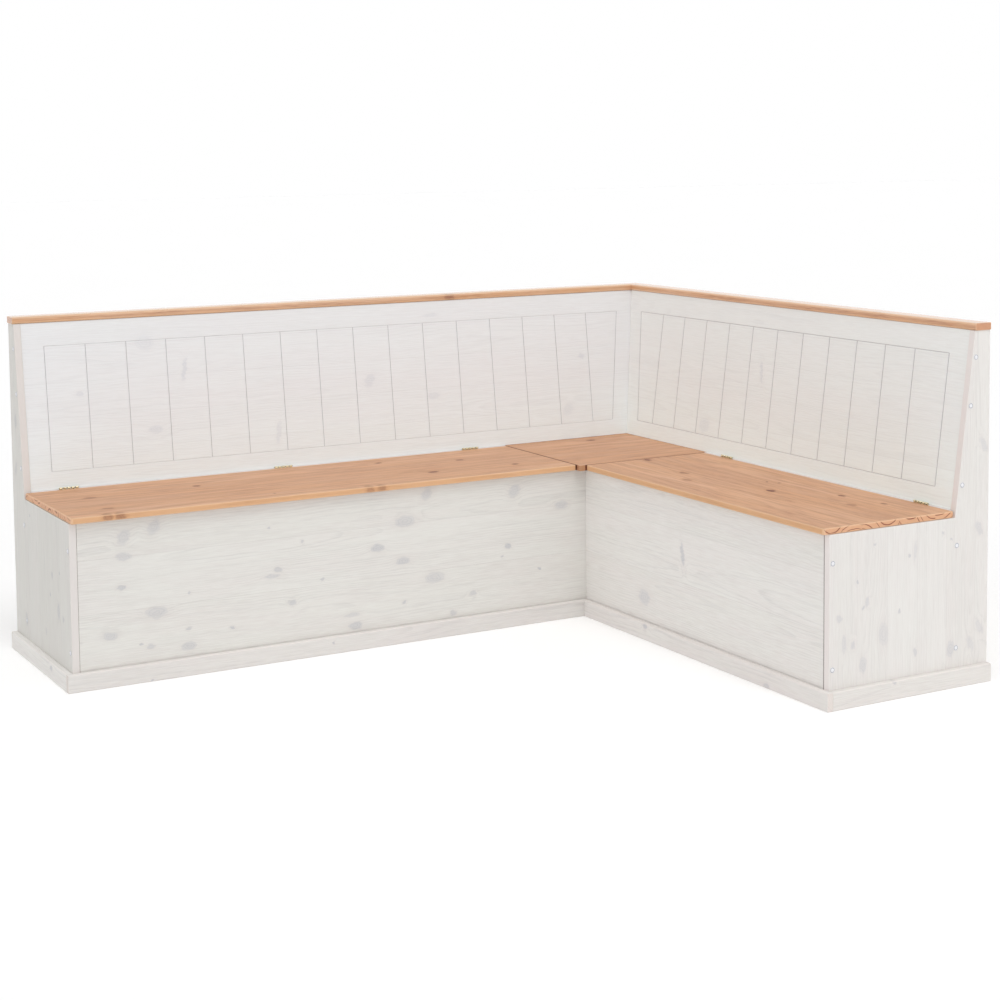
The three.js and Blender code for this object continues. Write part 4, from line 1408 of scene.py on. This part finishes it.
# Screw cover caps
def first_cap(node, material):
    """A domed cap with a fine ring round it, on the stem that presses into the screw's hole."""
    low, high = LONG.box(node)
    middle = (low + high) / 2
    panel_face = LONG.box(f"{LONG.end_name}_side_panel")[1].x
    head_inner = panel_face + FIT_GAP
    radius = (high.z - low.z) / 2
    head_outer = head_inner + CAP_EDGE_HEIGHT
    add_rod(LONG, *rod_along(radius, (head_inner, head_outer), middle), CAP_SIDES)
    open_piece()
    outward = LONG.direction(1, 0, 0)
    pick("FACE", lambda face: looks(face, -outward))
    bpy.ops.mesh.inset(thickness=radius - CAP_STEM_RADIUS, depth=0)
    grow(-outward * (head_inner - low.x))
    pick("FACE", lambda face: looks(face, outward))
    bpy.ops.mesh.inset(thickness=CAP_RIM, depth=0)
    bpy.ops.mesh.inset(thickness=CAP_RING_WIDTH / 2, depth=-CAP_RING_DEPTH)
    bpy.ops.mesh.inset(thickness=CAP_RING_WIDTH / 2, depth=CAP_RING_DEPTH)
    dome_radius = radius - CAP_RIM - CAP_RING_WIDTH
    rise = high.x - head_outer
    turns = [step / CAP_DOME_STEPS * QUARTER for step in range(CAP_DOME_STEPS)]
    for turn, next_turn in zip(turns, turns[1:]):
        bpy.ops.mesh.inset(
            thickness=dome_radius * (math.cos(turn) - math.cos(next_turn)),
            depth=rise * (math.sin(next_turn) - math.sin(turn)),
        )
    pick("EDGE", lambda edge: is_corner(edge) and edge_middle(LONG, edge).x < head_outer + NEAR)
    round_edges(LEAF_EASING, 1)

    def in_ring(face):
        place = face_middle(LONG, face)
        from_middle = math.hypot(place.y - middle.y, place.z - middle.z)
        return place.x > head_inner and dome_radius < from_middle < radius - CAP_RIM

    # The ring's faces are painted grey, as the shade in the ring
    pick("FACE", in_ring)
    mark("ring")
    close_piece(node, "cap_plastic", material)


def cover_caps():
    """One cap is modelled on the left side panel, and the others are copies of it."""
    material = cap_plastic()
    first, *others = sorted(node for node in frame["nodes"] if "_screw_cap_" in node)
    first_cap(first, material)
    for other in others:
        turn = Matrix.Rotation(QUARTER, 4, "Z") if other.startswith(SHORT.end_name) else Matrix()
        place_copy(first, other, first, other, turn)


# Floor, light and camera
def seen_directly(build):
    """One for the rays that show a surface in the picture or in a mirror, and zero for those that light."""
    rays = build.node("ShaderNodeLightPath").outputs
    seen = build.math("MAXIMUM", rays["Is Camera Ray"], rays["Is Glossy Ray"])
    return build.math("MAXIMUM", seen, rays["Is Transmission Ray"])


def floor():
    """A plain pale floor under the bench, which keeps its shadow and shows as white beside it."""
    bpy.ops.mesh.primitive_plane_add(size=FLOOR_SIZE, location=(0, 0, -FLOOR_DROP))
    plane = bpy.context.object
    plane.name = "floor"
    material, build, shader = new_material("floor_paper")
    grain = build.noise(build.object_place(), 2)["Fac"]
    colour = build.mix(grain, *FLOOR_TONES)
    roughness = build.spread(grain, 0, 1, *FLOOR_ROUGHNESS)
    finish_shader(build, shader, colour, roughness, grain, FLOOR_RELIEF, FLOOR_RELIEF_SHARE)
    lift = build.math("MULTIPLY", seen_directly(build), FLOOR_LIFT)
    build.tree.links.new(lift, shader.inputs["Emission Strength"])
    plane.data.materials.append(material)


def world_light():
    """An even white surround. What the camera and mirrors see of it is plain white."""
    world = bpy.data.worlds.new("studio")
    bpy.context.scene.world = world
    world.use_nodes = True
    world.node_tree.nodes.clear()
    build = Tree(world.node_tree)
    strength = build.math("MULTIPLY_ADD", seen_directly(build), 1 - WORLD_LIGHT, WORLD_LIGHT)
    background = build.node("ShaderNodeBackground", {"Color": (1, 1, 1, 1), "Strength": strength})
    build.node("ShaderNodeOutputWorld", (background.outputs[0],))


def add_lamp(name, lamp, comes_from, place=Vector()):
    """Puts a lamp at a place, facing away from where its light comes from."""
    holder = bpy.data.objects.new(name, lamp)
    holder.location = place
    holder.rotation_euler = comes_from.to_track_quat("Z", "Y").to_euler()
    bpy.context.scene.collection.objects.link(holder)


def add_sun(name, strength, softness, comes_from):
    sun = bpy.data.lights.new(name, "SUN")
    sun.energy = strength
    sun.angle = softness
    add_lamp(name, sun, comes_from)


def lamps():
    """A broad key light from above, a weak fill from the left, and a soft box in front on the right."""
    add_sun("key", KEY_STRENGTH, KEY_SOFTNESS, KEY_COMES_FROM)
    add_sun("left_fill", LEFT_FILL_STRENGTH, LEFT_FILL_SOFTNESS, LEFT_FILL_COMES_FROM)
    soft_box = bpy.data.lights.new("right_fill", "AREA")
    soft_box.energy = RIGHT_FILL_WATTS
    soft_box.size = RIGHT_FILL_SIZE
    add_lamp("right_fill", soft_box, RIGHT_FILL_PLACE - RIGHT_FILL_AIM, RIGHT_FILL_PLACE)


def camera():
    """Stands where the picture was taken from, with the lens shifted beside the picture's middle."""
    lens = bpy.data.cameras.new("camera")
    lens.sensor_width = CAMERA_SENSOR_MM
    lens.lens = CAMERA_LENS_MM
    lens.shift_x, lens.shift_y = CAMERA_SHIFT_SHARES
    eye = bpy.data.objects.new("camera", lens)
    upright = Matrix.Rotation(QUARTER + CAMERA_TILT, 4, "X")
    turned = Matrix.Rotation(-CAMERA_TURN, 4, "Z") @ upright @ Matrix.Rotation(CAMERA_ROLL, 4, "Z")
    eye.matrix_world = Matrix.Translation(ROOM_CORNER + CAMERA_FROM_CORNER) @ turned
    bpy.context.scene.collection.objects.link(eye)
    bpy.context.scene.camera = eye


# The whole bench
for leg in (LONG, SHORT):
    side_panel(leg)
    front_panel(leg)
    backrest(leg)
    lower_back_panel(leg)
    top_rail(leg)
    seat_lid(leg)
    plinth(leg, f"{leg.name}_front_plinth", UPRIGHT_BOARD, DEPTH)
    plinth(leg, f"{leg.end_name}_plinth", END_PLINTH, ALONG)
    for ending in ("backrest_cleat", "front_floor_batten", "back_floor_batten"):
        plain_board(leg, f"{leg.name}_{ending}", "raw_pine", RAW_PALETTE, UPRIGHT_BOARD)
    plain_board(leg, f"{leg.name}_cross_rail", "raw_pine", RAW_PALETTE, END_PLINTH)
plain_board(LONG, "long_floor_panel", "raw_pine", RAW_PALETTE, FLAT_BOARD)
short_floor_panel()
for post in ("inner_corner_post", "back_corner_post"):
    plain_board(LONG, post, "raw_pine", RAW_PALETTE, END_BOARD)
corner_seat_board()
hinges()
cover_caps()
floor()
world_light()
lamps()
camera()

bpy.context.scene.view_settings.view_transform = "Standard"
